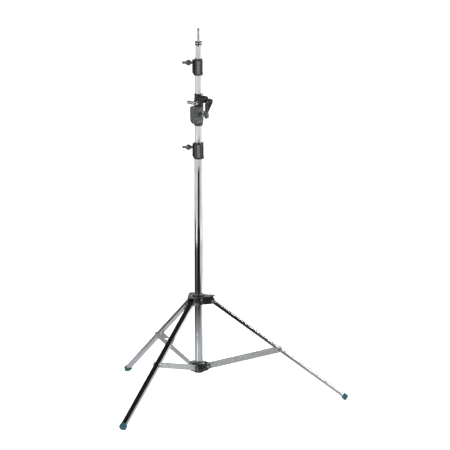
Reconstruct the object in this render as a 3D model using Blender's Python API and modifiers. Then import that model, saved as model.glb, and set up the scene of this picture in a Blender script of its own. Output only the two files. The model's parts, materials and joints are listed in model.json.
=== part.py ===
"""Crank lighting stand: a three-riser steel stand on a folding tripod. The middle riser is raised by a crank
through a pinion and a rack; the other two are set by hand and clamped by T-knobs.

Metres, +Z up, origin on the column axis at floor level. +X points along the right leg.
The legs pivot on a collar that slides on the base tube, the braces on a collar fixed at its foot.
"""

import math

import bmesh
import bpy
from mathutils import Matrix, Vector

# ------------------------------------------------------------------ driving dimensions
GAP = 0.0003                     # left between pieces that touch

BASE_OD, BASE_ID = 0.045, 0.041
RISER_1_OD, RISER_1_ID = 0.040, 0.036
RISER_2_OD, RISER_2_ID = 0.035, 0.031
RISER_3_OD, RISER_3_ID = 0.030, 0.026
STUD_D = 0.016                   # 5/8 in spigot

BASE_BOTTOM, BASE_TOP = 0.160, 1.385
RISER_1_BOTTOM, RISER_1_TOP = 0.300, 1.565
RISER_2_BOTTOM, RISER_2_TOP = 0.420, 1.845
RISER_3_BOTTOM, RISER_3_TOP = 0.550, 1.955
STUD_TOP = 2.053

MID_COLLAR = (1.336, 1.430)      # bottom and top of the casting
TOP_COLLAR = (1.794, 1.889)
MID_BARREL, TOP_BARREL = 0.0265, 0.0215                  # radius of each casting's barrel
MID_KNOB_Z, TOP_KNOB_Z = 1.402, 1.865

LEG_NAMES = {"right": 0, "back": 120, "front": 240}      # azimuth in degrees
LEG_PIVOT_R, LEG_PIVOT_Z = 0.078, 0.550
LEG_END_R, LEG_END_Z = 0.7936, 0.0225                    # leg centreline at its lower end
LEG_WIDTH, LEG_HEIGHT, LEG_WALL = 0.030, 0.020, 0.002
BRACE_PIVOT_R, BRACE_PIVOT_Z = 0.052, 0.191
BRACE_ON_LEG = 0.450             # leg pivot to brace bolt, along the leg
BRACE_WIDTH, BRACE_HEIGHT, BRACE_WALL = 0.036, 0.029, 0.002
PIVOT_BOLT_R = 0.004

UNIT_TURN = -35                  # the crank unit is clamped turned about the column, degrees
SHAFT_R = 0.005
RACK_PITCH, PINION_TEETH = 0.0060, 8                     # one turn of the crank lifts 48 mm
RACK_FACE = 0.0172               # rack tips, from the column axis
TOOTH_DEPTH = 0.0012
PINION_R = RACK_PITCH * PINION_TEETH / (2 * math.pi)
SHAFT_Y = -(RACK_FACE - TOOTH_DEPTH / 2 + PINION_R)      # crank shaft, in the unit's own frame
SHAFT_Z = 1.585
CRANK_LEAN = 12                  # the parked crank leans forward, degrees
CRANK_LENGTH = 0.094             # shaft to grip axis
RELEASE_PIN = (0.0282, -0.0058)  # its place in the unit's own frame
GRIP_R = 0.020

LEG_ANGLE = math.atan2(LEG_PIVOT_Z - LEG_END_Z, LEG_END_R - LEG_PIVOT_R)
LEG_LENGTH = math.hypot(LEG_PIVOT_Z - LEG_END_Z, LEG_END_R - LEG_PIVOT_R)
JOINT_R = LEG_PIVOT_R + BRACE_ON_LEG * math.cos(LEG_ANGLE)
JOINT_Z = LEG_PIVOT_Z - BRACE_ON_LEG * math.sin(LEG_ANGLE)
BRACE_ANGLE = math.atan2(JOINT_Z - BRACE_PIVOT_Z, JOINT_R - BRACE_PIVOT_R)
BRACE_LENGTH = math.hypot(JOINT_Z - BRACE_PIVOT_Z, JOINT_R - BRACE_PIVOT_R)

CHROME = ("chrome", (0.80, 0.82, 0.84), 0.10, 1.0)
ZINC = ("zinc", (0.62, 0.65, 0.66), 0.32, 1.0)
CASTING = ("black_casting", (0.030, 0.032, 0.032), 0.28, 0.6)
GREY_CAST = ("grey_casting", (0.20, 0.22, 0.21), 0.38, 0.7)
PLASTIC = ("black_plastic", (0.018, 0.018, 0.020), 0.35, 0.0)
NYLON = ("nylon", (0.75, 0.74, 0.70), 0.50, 0.0)
FOOT_BLUE = ("foot_blue", (0.010, 0.130, 0.240), 0.45, 0.0)
STEEL = ("steel", (0.55, 0.56, 0.57), 0.25, 1.0)

X_AXIS = Matrix.Rotation(math.radians(90), 4, "Y")       # turns a piece made along Z to lie along +X
Y_AXIS = Matrix.Rotation(math.radians(-90), 4, "X")      # the same, along +Y
FACING_FRONT = Matrix.Rotation(math.radians(90), 4, "X")  # outline (x, y) to (x, z), thickness to -Y


# ------------------------------------------------------------------ scene, materials, frames
for old in list(bpy.data.objects):
    bpy.data.objects.remove(old, do_unlink=True)

stand = bpy.data.collections.new("crank_lighting_stand")
cutters = bpy.data.collections.new("cutters")
for collection in (stand, cutters):
    bpy.context.scene.collection.children.link(collection)


def material(spec):
    """The Principled material of one finish, made once."""
    name, colour, roughness, metallic = spec
    found = bpy.data.materials.get(name)
    if found:
        return found
    made = bpy.data.materials.new(name)
    made.use_nodes = True
    shader = made.node_tree.nodes["Principled BSDF"]
    shader.inputs["Base Color"].default_value = (*colour, 1)
    shader.inputs["Roughness"].default_value = roughness
    shader.inputs["Metallic"].default_value = metallic
    made.diffuse_color = (*colour, 1)
    return made


def at(x=0.0, y=0.0, z=0.0):
    return Matrix.Translation((x, y, z))


def turn(degrees, axis):
    return Matrix.Rotation(math.radians(degrees), 4, axis)


def frame(name, place, parent=None):
    """An empty that holds a joint axis or the pose of a group."""
    empty = bpy.data.objects.new(name, None)
    empty.empty_display_size = 0.03
    stand.objects.link(empty)
    empty.parent = parent
    empty.matrix_local = place
    return empty


def add(name, mesh, parent, finish, place):
    """One piece, or one cutter when finish is None."""
    obj = bpy.data.objects.new(name, mesh)
    (stand if finish else cutters).objects.link(obj)
    obj.parent = parent
    obj.matrix_local = place
    if finish:
        mesh.materials.append(material(finish))
    else:
        obj.hide_render = True
        obj.display_type = "WIRE"
    return obj


# ------------------------------------------------------------------ shapes
def turned(name, profile, parent, finish, place=Matrix(), steps=24, ring=False):
    """A turned piece about its own Z: (radius, height) points down its outer side, then up a ring's bore."""
    mesh = bpy.data.meshes.new(name)
    shape = bmesh.new()
    points = [shape.verts.new((radius, 0, height)) for radius, height in profile]
    for first, second in zip(points, points[1:]):
        shape.edges.new((first, second))
    if ring:
        shape.edges.new((points[-1], points[0]))
    shape.to_mesh(mesh)
    shape.free()
    obj = add(name, mesh, parent, finish, place)
    screw = obj.modifiers.new("turn", "SCREW")
    screw.steps = screw.render_steps = steps
    screw.use_merge_vertices = True
    screw.merge_threshold = 0.00001
    return obj


def tube(name, outer, inner, low, high, parent, finish, steps=40):
    profile = [(outer / 2, high), (outer / 2, low), (inner / 2, low), (inner / 2, high)]
    return turned(name, profile, parent, finish, steps=steps, ring=True)


def rod(name, radius, start, length, parent, finish, place=Matrix(), steps=14, edge=0.0):
    """A solid round bar along its own Z, its ends broken by a small chamfer."""
    end = start + length
    profile = [(0, end), (radius - edge, end), (radius, end - edge), (radius, start + edge)]
    profile += [(radius - edge, start), (0, start)]
    if not edge:
        profile = [(0, end), (radius, end), (radius, start), (0, start)]
    return turned(name, profile, parent, finish, place, steps)


def bolt(name, shank_r, length, head_r, head, parent, finish, place=Matrix(), nut=0.0, steps=12):
    """A bolt along its own Z from 0 to length, a round head below 0, and a nut above length if it has one."""
    profile = [(0, length + nut)]
    if nut:
        profile += [(head_r * 0.86, length + nut), (head_r * 0.86, length)]
    profile += [(shank_r, length), (shank_r, 0), (head_r, 0), (head_r, -head * 0.6)]
    profile += [(head_r * 0.7, -head), (0, -head)]
    return turned(name, profile, parent, finish, place, steps)


def plate(name, outlines, thickness, parent, finish, place=Matrix()):
    """A flat piece: the first outline and the holes in it, its thickness centred on its own z = 0."""
    curve = bpy.data.curves.new(name, "CURVE")
    curve.dimensions = "2D"
    curve.fill_mode = "BOTH"
    curve.extrude = thickness / 2
    for outline in outlines:
        spline = curve.splines.new("POLY")
        spline.points.add(len(outline) - 1)
        for point, (x, y) in zip(spline.points, outline):
            point.co = (x, y, 0, 1)
        spline.use_cyclic_u = True
    guide = bpy.data.objects.new(name + "_outline", curve)
    cutters.objects.link(guide)
    bpy.context.view_layer.update()
    mesh = bpy.data.meshes.new_from_object(guide.evaluated_get(bpy.context.evaluated_depsgraph_get()))
    bpy.data.objects.remove(guide)
    shape = bmesh.new()
    shape.from_mesh(mesh)
    bmesh.ops.remove_doubles(shape, verts=shape.verts, dist=0.000001)
    bmesh.ops.recalc_face_normals(shape, faces=shape.faces)
    shape.to_mesh(mesh)
    shape.free()
    mesh.materials.clear()
    return add(name, mesh, parent, finish, place)


def block(name, low, high, parent, finish, place=Matrix(), edge=0.0):
    """A box from corner to corner, its edges rounded by a bevel if edge is given."""
    mesh = bpy.data.meshes.new(name)
    shape = bmesh.new()
    size = Vector(high) - Vector(low)
    centre = (Vector(high) + Vector(low)) / 2
    bmesh.ops.create_cube(shape, size=1, matrix=Matrix.Translation(centre) @ Matrix.Diagonal((*size, 1)))
    shape.to_mesh(mesh)
    shape.free()
    obj = add(name, mesh, parent, finish, place)
    if edge:
        bevel = obj.modifiers.new("edges", "BEVEL")
        bevel.width = edge
        bevel.segments = 2
    return obj


def arc(x, y, radius, start, end, count=8):
    """Points on an arc, angles in degrees."""
    angles = [math.radians(start + (end - start) * i / count) for i in range(count + 1)]
    return [(x + radius * math.cos(a), y + radius * math.sin(a)) for a in angles]


def circle(x, y, radius, count=20):
    return arc(x, y, radius, 0, 360 - 360 / count, count - 1)


def rounded(width, height, radius, count=3):
    """A rectangle with round corners, centred on the origin."""
    x, y = width / 2 - radius, height / 2 - radius
    corners = [(x, y, 0), (-x, y, 90), (-x, -y, 180), (x, -y, 270)]
    return [point for cx, cy, a in corners for point in arc(cx, cy, radius, a, a + 90, count)]


def combine(obj, operation, *others):
    """Cuts the others from the object, or joins them to it."""
    for other in others:
        step = obj.modifiers.new(f"{operation.lower()}_{other.name}", "BOOLEAN")
        step.operation = operation
        step.object = other


def cut(obj, *others):
    combine(obj, "DIFFERENCE", *others)


def join(obj, *others):
    combine(obj, "UNION", *others)


# ------------------------------------------------------------------ base column
def base_column(column):
    tube("base_tube", BASE_OD, BASE_ID, BASE_BOTTOM, BASE_TOP, column, CHROME)
    plug_r = BASE_ID / 2 - GAP
    flange_top = BASE_BOTTOM - GAP
    profile = [(0, 0.182), (plug_r - 0.001, 0.182), (plug_r, 0.180), (plug_r, flange_top)]
    profile += [(BASE_OD / 2, flange_top), (BASE_OD / 2, 0.1555), (BASE_OD / 2 - 0.001, 0.1545), (0, 0.1545)]
    turned("base_end_plug", profile, column, PLASTIC, steps=20)


def lower_collar(column):
    """The fixed collar: a hub on the tube, three pairs of ears, and a flange between the pairs."""
    low, high, bore, hub = 0.1605, 0.212, BASE_OD / 2 + GAP, 0.034
    ear_in, ear_t = BRACE_WIDTH / 2 + 0.0004, 0.004
    profile = [(hub - 0.002, high), (hub, high - 0.002), (hub, low + 0.002), (hub - 0.002, low)]
    profile += [(bore, low), (bore, high)]
    collar = turned("lower_collar", profile, column, CASTING, steps=30, ring=True)
    ear = [(0.026, 0.208), (0.045, 0.208)] + arc(BRACE_PIVOT_R, BRACE_PIVOT_Z, 0.0150, 75, -75, 8)
    ear += [(0.045, 0.1665), (0.026, 0.1665)]
    hole = circle(BRACE_PIVOT_R, BRACE_PIVOT_Z, PIVOT_BOLT_R + GAP, 12)
    flange = plate("lower_flange", [circle(0, 0, 0.047, 30)], 0.004, column, None, at(0, 0, 0.2085))
    opening = rod("lower_flange_bore", 0.030, 0.15, 0.08, column, None, steps=24)
    cut(flange, opening)
    for side, azimuth in LEG_NAMES.items():
        sector = frame(f"lower_sector_{side}", turn(azimuth, "Z"), column)
        low_corner, high_corner = (0.0345, -ear_in - 0.001, 0.15), (0.09, ear_in + 0.001, 0.23)
        room = block(f"brace_room_{side}", low_corner, high_corner, sector, None)
        cut(flange, room)
    join(collar, flange)
    for side, azimuth in LEG_NAMES.items():
        for sign, hand in ((-1, "a"), (1, "b")):
            place = turn(azimuth, "Z") @ at(0, sign * (ear_in + ear_t / 2), 0) @ FACING_FRONT
            join(collar, plate(f"lower_ear_{side}_{hand}", [ear, hole], ear_t, column, None, place))
        place = turn(azimuth, "Z") @ at(BRACE_PIVOT_R, -ear_in - ear_t - GAP, BRACE_PIVOT_Z) @ Y_AXIS
        length = 2 * (ear_in + ear_t + GAP)
        bolt(f"brace_pivot_bolt_{side}", PIVOT_BOLT_R, length, 0.0072, 0.004, column, STEEL, place, nut=0.004)
    screw = turn(-60, "Z") @ at(0, 0, 0.182) @ X_AXIS
    cut(collar, rod("lower_screw_hole", 0.0033, 0.020, 0.05, column, None, screw, steps=16))
    profile = [(0, 0.0555), (0.0060, 0.0555), (0.0080, 0.0535), (0.0080, 0.0475), (0.0055, 0.0455)]
    profile += [(0.0055, 0.0345), (0.003, 0.0345), (0.003, 0.0231), (0, 0.0231)]
    turned("lower_collar_screw", profile, column, PLASTIC, screw, steps=12)


# ------------------------------------------------------------------ collars on the risers
def riser_collar(name, low, high, barrel, lower_od, upper_od, knob_z, parent):
    """A casting on the top of a tube: barrel, knob boss on the left, lug with an upright pin on the right."""
    step = low + 0.0515 if lower_od < 0.040 else low + 0.0495
    top = high - 0.005
    profile = [(0, high), (upper_od / 2 + 0.0045, high), (barrel, top), (barrel, low + 0.006)]
    profile += [(barrel - 0.005, low), (0, low)]
    collar = turned(name, profile, parent, CASTING, steps=30)
    side = [(-0.033, top - 0.002), (-0.033, low + 0.019), (-0.021, low + 0.001), (0, low + 0.001)]
    side += [(0, top - 0.002)]
    boss = plate(f"{name}_boss", [side], 0.026, parent, None, FACING_FRONT)
    lug = [(0, low + 0.003), (barrel + 0.0045, low + 0.003), (barrel + 0.0045, low + 0.020)]
    lug += [(barrel + 0.0020, low + 0.026), (barrel + 0.0020, high - 0.014), (0, high - 0.014)]
    turned_lug = turn(-20, "Z") @ FACING_FRONT
    join(collar, boss, plate(f"{name}_lug", [lug], 0.014, parent, None, turned_lug))
    bore_low, bore_high = lower_od / 2 + GAP, upper_od / 2 + 0.0014
    bore = [(0, high + 0.01), (bore_high, high + 0.01), (bore_high, step), (bore_low, step)]
    bore += [(bore_low, low - 0.01), (0, low - 0.01)]
    split, pin_line = turn(-66, "Z"), turn(-20, "Z") @ at(barrel + 0.001)
    knob_line = at(0, 0, knob_z) @ turn(180, "Z") @ X_AXIS
    cut(
        collar,
        turned(f"{name}_bore", bore, parent, None, steps=34),
        block(f"{name}_split", (0.01, -0.0015, step + 0.002), (0.05, 0.0015, high + 0.01), parent, None, split),
        rod(f"{name}_knob_hole", 0.0058, 0.010, 0.05, parent, None, knob_line, 14),
        rod(f"{name}_pin_hole", 0.0043, low - 0.002, high - low + 0.01, parent, None, pin_line, 13),
    )
    return step


def bush(name, riser_od, low, high, parent):
    """The split plastic bush that a riser slides in, with a lip that stays under the casting's top."""
    outer, inner = riser_od / 2 + 0.0011, riser_od / 2 + 0.0003
    tube(name, 2 * outer, 2 * inner, low, high, parent, NYLON, steps=24)


def t_knob(name, reach, parent):
    """A clamp knob along its own +X: screw, thick neck, oval wings and a round nose. Its neck starts at reach."""
    tip, neck = reach - 0.012, reach
    profile = [(0, 0.053), (0.0050, 0.053), (0.0070, 0.0505), (0.0072, 0.044), (0.0062, 0.038), (0.0095, 0.031)]
    profile += [(0.0118, 0.023), (0.0112, 0.012), (0.0086, 0.006), (0.0078, 0.001), (0.0052, 0.001)]
    profile = [(r, z + neck) for r, z in profile] + [(0.0052, tip), (0, tip)]
    knob = turned(name, profile, parent, GREY_CAST, X_AXIS, steps=16)
    wing = [(neck + 0.0190 + x, y) for x, y in circle(0, 0, 0.0160, 18)]
    join(knob, plate(f"{name}_wings", [wing], 0.008, parent, None, turn(-90, "X")))
    return knob


# ------------------------------------------------------------------ tripod
def leg_collar(slider):
    """The sliding collar: hub on the tube, top plate, three pairs of ears under it, clamp screw's boss."""
    low, high, bore, hub = 0.5350, 0.5905, BASE_OD / 2 + 0.0018, 0.033
    ear_in, ear_t = LEG_WIDTH / 2 + 0.0004, 0.004
    profile = [(0, high), (hub - 0.003, high), (hub, high - 0.003), (hub, low + 0.003)]
    profile += [(hub - 0.003, low), (0, low)]
    collar = turned("leg_collar", profile, slider, CASTING, steps=30)
    lobes = []
    for azimuth in LEG_NAMES.values():
        for local in [(0.040, -0.036)] + arc(0.068, 0, 0.0205, -75, 75, 6) + [(0.040, 0.036)]:
            spin = turn(azimuth, "Z") @ Vector((*local, 0))
            lobes.append((spin.x, spin.y))
    pieces = [plate("leg_collar_plate", [lobes], 0.004, slider, None, at(0, 0, 0.5805))]
    ear = [(0.026, 0.5800), (0.0785, 0.5800)]
    ear += arc(LEG_PIVOT_R - 0.001, LEG_PIVOT_Z + 0.002, 0.0125, 60, -90, 8) + [(0.058, 0.5375), (0.040, 0.5352), (0.026, 0.5352)]
    hole = circle(LEG_PIVOT_R, LEG_PIVOT_Z, PIVOT_BOLT_R + GAP, 12)
    for side, azimuth in LEG_NAMES.items():
        for sign, hand in ((-1, "a"), (1, "b")):
            place = turn(azimuth, "Z") @ at(0, sign * (ear_in + ear_t / 2), 0) @ FACING_FRONT
            pieces.append(plate(f"leg_ear_{side}_{hand}", [ear, hole], ear_t, slider, None, place))
        place = turn(azimuth, "Z") @ at(LEG_PIVOT_R, -ear_in - ear_t - GAP, LEG_PIVOT_Z) @ Y_AXIS
        length = 2 * (ear_in + ear_t + GAP)
        bolt(f"leg_pivot_bolt_{side}", PIVOT_BOLT_R, length, 0.0075, 0.0045, slider, STEEL, place, nut=0.0045)
    clamp = at(-0.0215, 0, 0.5765) @ turn(180, "Z") @ turn(51.5, "Y")
    pieces.append(rod("leg_clamp_boss", 0.0095, 0.004, 0.034, slider, None, clamp @ X_AXIS, 16))
    join(collar, *pieces)
    screw = turn(-68, "Z") @ at(0, 0, 0.564) @ X_AXIS
    bore_profile = [(0, high + 0.03), (bore, high + 0.03), (bore, low - 0.03), (0, low - 0.03)]
    cut(
        collar,
        turned("leg_collar_bore", bore_profile, slider, None, steps=30),
        rod("leg_clamp_hole", 0.0056, -0.01, 0.06, slider, None, clamp @ X_AXIS, 14),
        rod("leg_screw_hole", 0.0033, 0.020, 0.03, slider, None, screw, 10),
    )
    outer, inner = 2 * bore - 2 * GAP, BASE_OD + 2 * GAP
    tube("leg_collar_bush", outer, inner, low + 0.001, high - 0.001, slider, NYLON, 24)
    seat = turn(-68, "Z") @ at(hub + GAP, 0, 0.564) @ turn(180, "Z") @ X_AXIS
    bolt("leg_collar_screw", 0.003, 0.0083, 0.0055, 0.004, slider, ZINC, seat)
    return clamp


def leg(side, pivot):
    """A rectangular steel tube, its local +X running down to the foot."""
    start, length = -0.012, LEG_LENGTH + 0.012
    bore = rounded(LEG_HEIGHT - 2 * LEG_WALL, LEG_WIDTH - 2 * LEG_WALL, 0.0022)
    section = [rounded(LEG_HEIGHT, LEG_WIDTH, 0.004, 4), bore]
    made = plate(f"leg_{side}", section, length, pivot, CHROME, at(start + length / 2) @ X_AXIS)
    for name, x, radius in (("pivot", 0, PIVOT_BOLT_R + GAP), ("brace", BRACE_ON_LEG, 0.0053)):
        cut(made, rod(f"leg_{side}_{name}_hole", radius, -0.03, 0.06, pivot, None, at(x) @ Y_AXIS, 12))
    profile = [(0.005, 0.0149), (0.005, -0.0149), (0.0035, -0.0149), (0.0035, 0.0149)]
    turned(f"leg_sleeve_{side}", profile, pivot, STEEL, at(BRACE_ON_LEG) @ Y_AXIS, 12, ring=True)
    foot(side, pivot)


def foot(side, pivot):
    """A plastic cap on the leg's end, its sole cut level with the floor."""
    start, end = LEG_LENGTH - 0.008, LEG_LENGTH + 0.022
    sole = [(x + 0.001, y) for x, y in rounded(0.028, 0.035, 0.006)]
    cap = plate(f"foot_{side}", [sole], end - start, pivot, FOOT_BLUE, at((start + end) / 2) @ X_AXIS)
    bevel = cap.modifiers.new("edges", "BEVEL")
    bevel.width, bevel.segments, bevel.limit_method, bevel.angle_limit = 0.002, 2, "ANGLE", math.radians(60)
    mouth = rounded(LEG_HEIGHT + 2 * GAP, LEG_WIDTH + 2 * GAP, 0.0043)
    socket = plate(f"foot_{side}_socket", [mouth], 0.040, pivot, None, at(LEG_LENGTH + GAP - 0.020) @ X_AXIS)
    level = turn(-math.degrees(LEG_ANGLE), "Y") @ at(-LEG_PIVOT_R, 0, -LEG_PIVOT_Z)
    below = block(f"foot_{side}_floor", (0.7, -0.03, -0.05), (0.9, 0.03, 0), pivot, None, level)
    cut(cap, socket, below)


def brace(side, pivot):
    """A pressed channel, open below, that straddles the leg like a fork. Its local +X runs out to the leg."""
    end_r, web_start, web_end = BRACE_HEIGHT / 2, 0.016, BRACE_LENGTH - 0.091
    top = BRACE_HEIGHT / 2
    wall = arc(0, 0, end_r, 90, 270, 8) + arc(BRACE_LENGTH, 0, end_r, -90, 90, 8)
    holes = [circle(0, 0, PIVOT_BOLT_R + GAP, 12), circle(BRACE_LENGTH, 0, 0.0033, 12)]
    offset = (BRACE_WIDTH - BRACE_WALL) / 2
    made = plate(f"brace_{side}", [wall, *holes], BRACE_WALL, pivot, ZINC, at(0, -offset) @ FACING_FRONT)
    other = plate(f"brace_{side}_wall", [wall, *holes], BRACE_WALL, pivot, None, at(0, offset) @ FACING_FRONT)
    web = block(f"brace_{side}_web", (web_start, -BRACE_WIDTH / 2 + 0.0005, top - BRACE_WALL),
                (web_end, BRACE_WIDTH / 2 - 0.0005, top - 0.0001), pivot, None)
    join(made, other, web)
    seat = at(BRACE_LENGTH, -BRACE_WIDTH / 2 - GAP) @ Y_AXIS
    bolt(f"brace_bolt_{side}", 0.003, 0.0018, 0.0075, 0.0042, pivot, STEEL, seat)


def tripod(column):
    lower_collar(column)
    slider = frame("leg_collar_slide", Matrix(), column)
    clamp = leg_collar(slider)
    t_knob("leg_knob", 0.0395, frame("leg_knob_axis", clamp, slider))
    for side, azimuth in LEG_NAMES.items():
        spin = turn(azimuth, "Z")
        leg_place = spin @ at(LEG_PIVOT_R, 0, LEG_PIVOT_Z) @ turn(math.degrees(LEG_ANGLE), "Y")
        leg(side, frame(f"leg_{side}_axis", leg_place, slider))
        brace_place = spin @ at(BRACE_PIVOT_R, 0, BRACE_PIVOT_Z) @ turn(-math.degrees(BRACE_ANGLE), "Y")
        brace(side, frame(f"brace_{side}_axis", brace_place, column))


# ------------------------------------------------------------------ crank unit
def tongue(inset, top):
    """The front outline of the gear housing: straight sides and a half-round bottom, drawn in x and z."""
    half, centre = 0.026 - inset, 0.007
    bottom = 1.5620
    points = arc(centre, bottom, half, 180, 360, 12)
    corner = 0.008 - inset / 2
    points += arc(centre + half - corner, top - inset - corner, corner, 0, 90, 3)
    points += arc(centre - half + corner, top - inset - corner, corner, 90, 180, 3)
    return points


def gear_housing(unit):
    """The casting clamped on riser 1: sleeve, gear box open in front, and bosses for shaft, lock and pin."""
    front, back, top = -0.047, -0.008, 1.632
    profile = [(0, 1.662), (0.0235, 1.662), (0.025, 1.660), (0.025, 1.528), (0.0215, 1.520), (0, 1.520)]
    housing = turned("gear_housing", profile, unit, GREY_CAST, steps=30)
    depth = back - front
    box = plate("gear_box", [tongue(0, top)], depth, unit, None, at(0, (front + back) / 2) @ FACING_FRONT)
    shaft_line = at(0, SHAFT_Y, SHAFT_Z) @ X_AXIS
    lock_line = at(0.012, 0, 1.6475) @ turn(180, "Z") @ Y_AXIS
    pin_line = at(*RELEASE_PIN)
    join(
        housing,
        box,
        rod("shaft_boss", 0.0125, 0.020, 0.0265, unit, None, shaft_line, 20, edge=0.001),
        rod("lock_boss", 0.0085, 0.010, 0.0225, unit, None, lock_line, 16),
        rod("pin_boss", 0.0060, 1.620, 0.0412, unit, None, pin_line, 14),
    )
    cavity_place = at(0, front + 0.017) @ FACING_FRONT
    cavity = plate("gear_cavity", [tongue(0.005, top)], 0.036, unit, None, cavity_place)
    bore_low, bore_high = RISER_1_OD / 2 + GAP, RISER_2_OD / 2 + 0.0004
    bore = [(0, 1.67), (bore_high, 1.67), (bore_high, RISER_1_TOP + GAP), (bore_low, RISER_1_TOP + GAP)]
    bore += [(bore_low, 1.51), (0, 1.51)]
    cut(
        housing,
        cavity,
        turned("gear_housing_bore", bore, unit, None, steps=30),
        rod("shaft_hole_left", SHAFT_R + GAP, -0.017, 0.02, unit, None, shaft_line, 16),
        rod("shaft_hole_right", 0.0083, 0.020, 0.03, unit, None, shaft_line, 16),
        rod("lock_hole", 0.0043, 0.010, 0.03, unit, None, lock_line, 10),
        rod("pin_hole", 0.0033, 1.640, 0.03, unit, None, pin_line, 10),
    )
    studs = {"left": (-0.0112, 1.5665), "right": (0.0252, 1.5665), "top": (0.007, 1.6243)}
    for name, (x, z) in studs.items():
        line = at(x, 0, z) @ turn(180, "Z") @ Y_AXIS
        join(housing, rod(f"screw_post_{name}", 0.0037, 0.030, 0.0167, unit, None, line, 10))
        cut(housing, rod(f"screw_hole_{name}", 0.0018, 0.036, 0.02, unit, None, line, 8))
    cover(unit, front - GAP, top, studs)
    return shaft_line, lock_line


def cover(unit, back, top, studs):
    """The front cover with its raised rim, and its three screws."""
    holes = [circle(x, z, 0.0018, 8) for x, z in studs.values()]
    outside, inside = tongue(GAP, top), tongue(0.0040, top)
    made = plate("gear_cover", [outside, *holes], 0.003, unit, GREY_CAST, at(0, back - 0.0015) @ FACING_FRONT)
    rim = plate("cover_rim", [outside, inside], 0.003, unit, None, at(0, back - 0.0040) @ FACING_FRONT)
    join(made, rim)
    for name, (x, z) in studs.items():
        seat = at(x, back - 0.0030 - GAP, z) @ Y_AXIS
        bolt(f"cover_screw_{name}", 0.0015, 0.0085, 0.0034, 0.0022, unit, STEEL, seat, steps=10)


def crank_train(unit, shaft_line):
    """Shaft, bush and pinion, then the crank: a hub block, an arm that leans outward, a grip that turns."""
    profile = [(0.0080, 0.0455), (0.0080, 0.0290), (SHAFT_R + GAP, 0.0290), (SHAFT_R + GAP, 0.0455)]
    turned("shaft_bush", profile, unit, NYLON, shaft_line, 16, ring=True)
    axis = frame("crank_axis", at(0, SHAFT_Y, SHAFT_Z) @ turn(CRANK_LEAN, "X"), unit)
    rod("crank_shaft", SHAFT_R, -0.0165, 0.0935, axis, STEEL, X_AXIS, 16, edge=0.0005)

    root, tip = PINION_R - TOOTH_DEPTH / 2 - 0.0003, PINION_R + TOOTH_DEPTH / 2 - 0.0003
    teeth = []
    for tooth in range(PINION_TEETH):
        for share, radius in ((-0.32, root), (-0.09, tip), (0.09, tip), (0.32, root)):
            angle = 2 * math.pi * (tooth + share) / PINION_TEETH - math.radians(CRANK_LEAN)
            teeth.append((radius * math.cos(angle), radius * math.sin(angle)))
    gear_plane = Matrix(((0, 0, 1, 0), (1, 0, 0, 0), (0, 1, 0, 0), (0, 0, 0, 1)))
    plate("pinion", [teeth, circle(0, 0, SHAFT_R + GAP, 16)], 0.0076, axis, STEEL, gear_plane)

    hub = block("crank_hub", (0.062, -0.012, -0.014), (0.080, 0.012, 0.030), axis, GREY_CAST, edge=0.0035)
    cut(hub, rod("crank_hub_hole", SHAFT_R + GAP, 0.056, 0.0213, axis, None, X_AXIS, 16))
    slope = math.degrees(math.atan2(0.028, 0.068))
    side = arc(0, CRANK_LENGTH - 0.014, 0.0285, -12, 192, 12) + arc(0, 0.036, 0.0115, 200, 340, 5)
    arm_plane = at(0.0665, 0, 0) @ turn(slope, "Y") @ gear_plane
    arm = plate("crank_arm", [side], 0.016, axis, PLASTIC, arm_plane)
    bevel = arm.modifiers.new("edges", "BEVEL")
    bevel.width, bevel.segments, bevel.limit_method, bevel.angle_limit = 0.0035, 2, "ANGLE", math.radians(60)
    grip_line = at(0, 0, CRANK_LENGTH) @ X_AXIS
    cut(
        arm,
        block("arm_foot_room", (0.050, -0.02, -0.03), (0.0825, 0.02, 0.030 + GAP), axis, None),
        rod("grip_bolt_room", PIVOT_BOLT_R + GAP, 0.05, 0.0525, axis, None, grip_line, 12),
    )
    bolt("grip_bolt", PIVOT_BOLT_R, 0.0460, 0.0075, 0.004, axis, STEEL, grip_line @ at(0, 0, 0.0560))
    grip_axis = frame("grip_axis", at(0, 0, CRANK_LENGTH), axis)
    bore = PIVOT_BOLT_R + GAP
    profile = [(GRIP_R - 0.006, 0.0870), (GRIP_R - 0.002, 0.0850), (GRIP_R, 0.0810), (GRIP_R, 0.0530)]
    profile += [(GRIP_R - 0.002, 0.0485), (GRIP_R - 0.006, 0.0465), (0.0105, 0.0465), (0.0095, 0.0480)]
    profile += [(0.0095, 0.0563), (bore, 0.0563), (bore, 0.0870)]
    turned("crank_grip", profile, grip_axis, PLASTIC, X_AXIS, 24, ring=True)


def lock(unit, lock_line):
    """The lever that locks riser 2: its ring turns on a screw that runs in to the riser. Its y is down."""
    axis = frame("lock_axis", lock_line, unit)
    profile = [(0, 0.0465), (0.0095, 0.0465), (0.0115, 0.0445), (0.0115, 0.0345), (0.0040, 0.0345)]
    profile += [(0.0040, 0.0165), (0, 0.0165)]
    lever = turned("lock_lever", profile, axis, ZINC, steps=20)
    outline = [(0.006, -0.0088), (0.026, -0.0105), (0.050, -0.0120)]
    outline += arc(0.0525, -0.0027, 0.0092, -80, 80, 6) + [(0.050, 0.0065), (0.028, 0.0075), (0.006, 0.0095)]
    blade = plate("lock_blade", [outline], 0.007, axis, None, at(0, 0, 0.0400))
    join(lever, blade)
    cut(lever, rod("lock_cap_room", 0.0063, 0.0443, 0.01, axis, None, Matrix(), 14))
    rod("lock_cap", 0.0060, 0.0446, 0.0035, axis, PLASTIC, Matrix(), 14, edge=0.0008)


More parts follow.
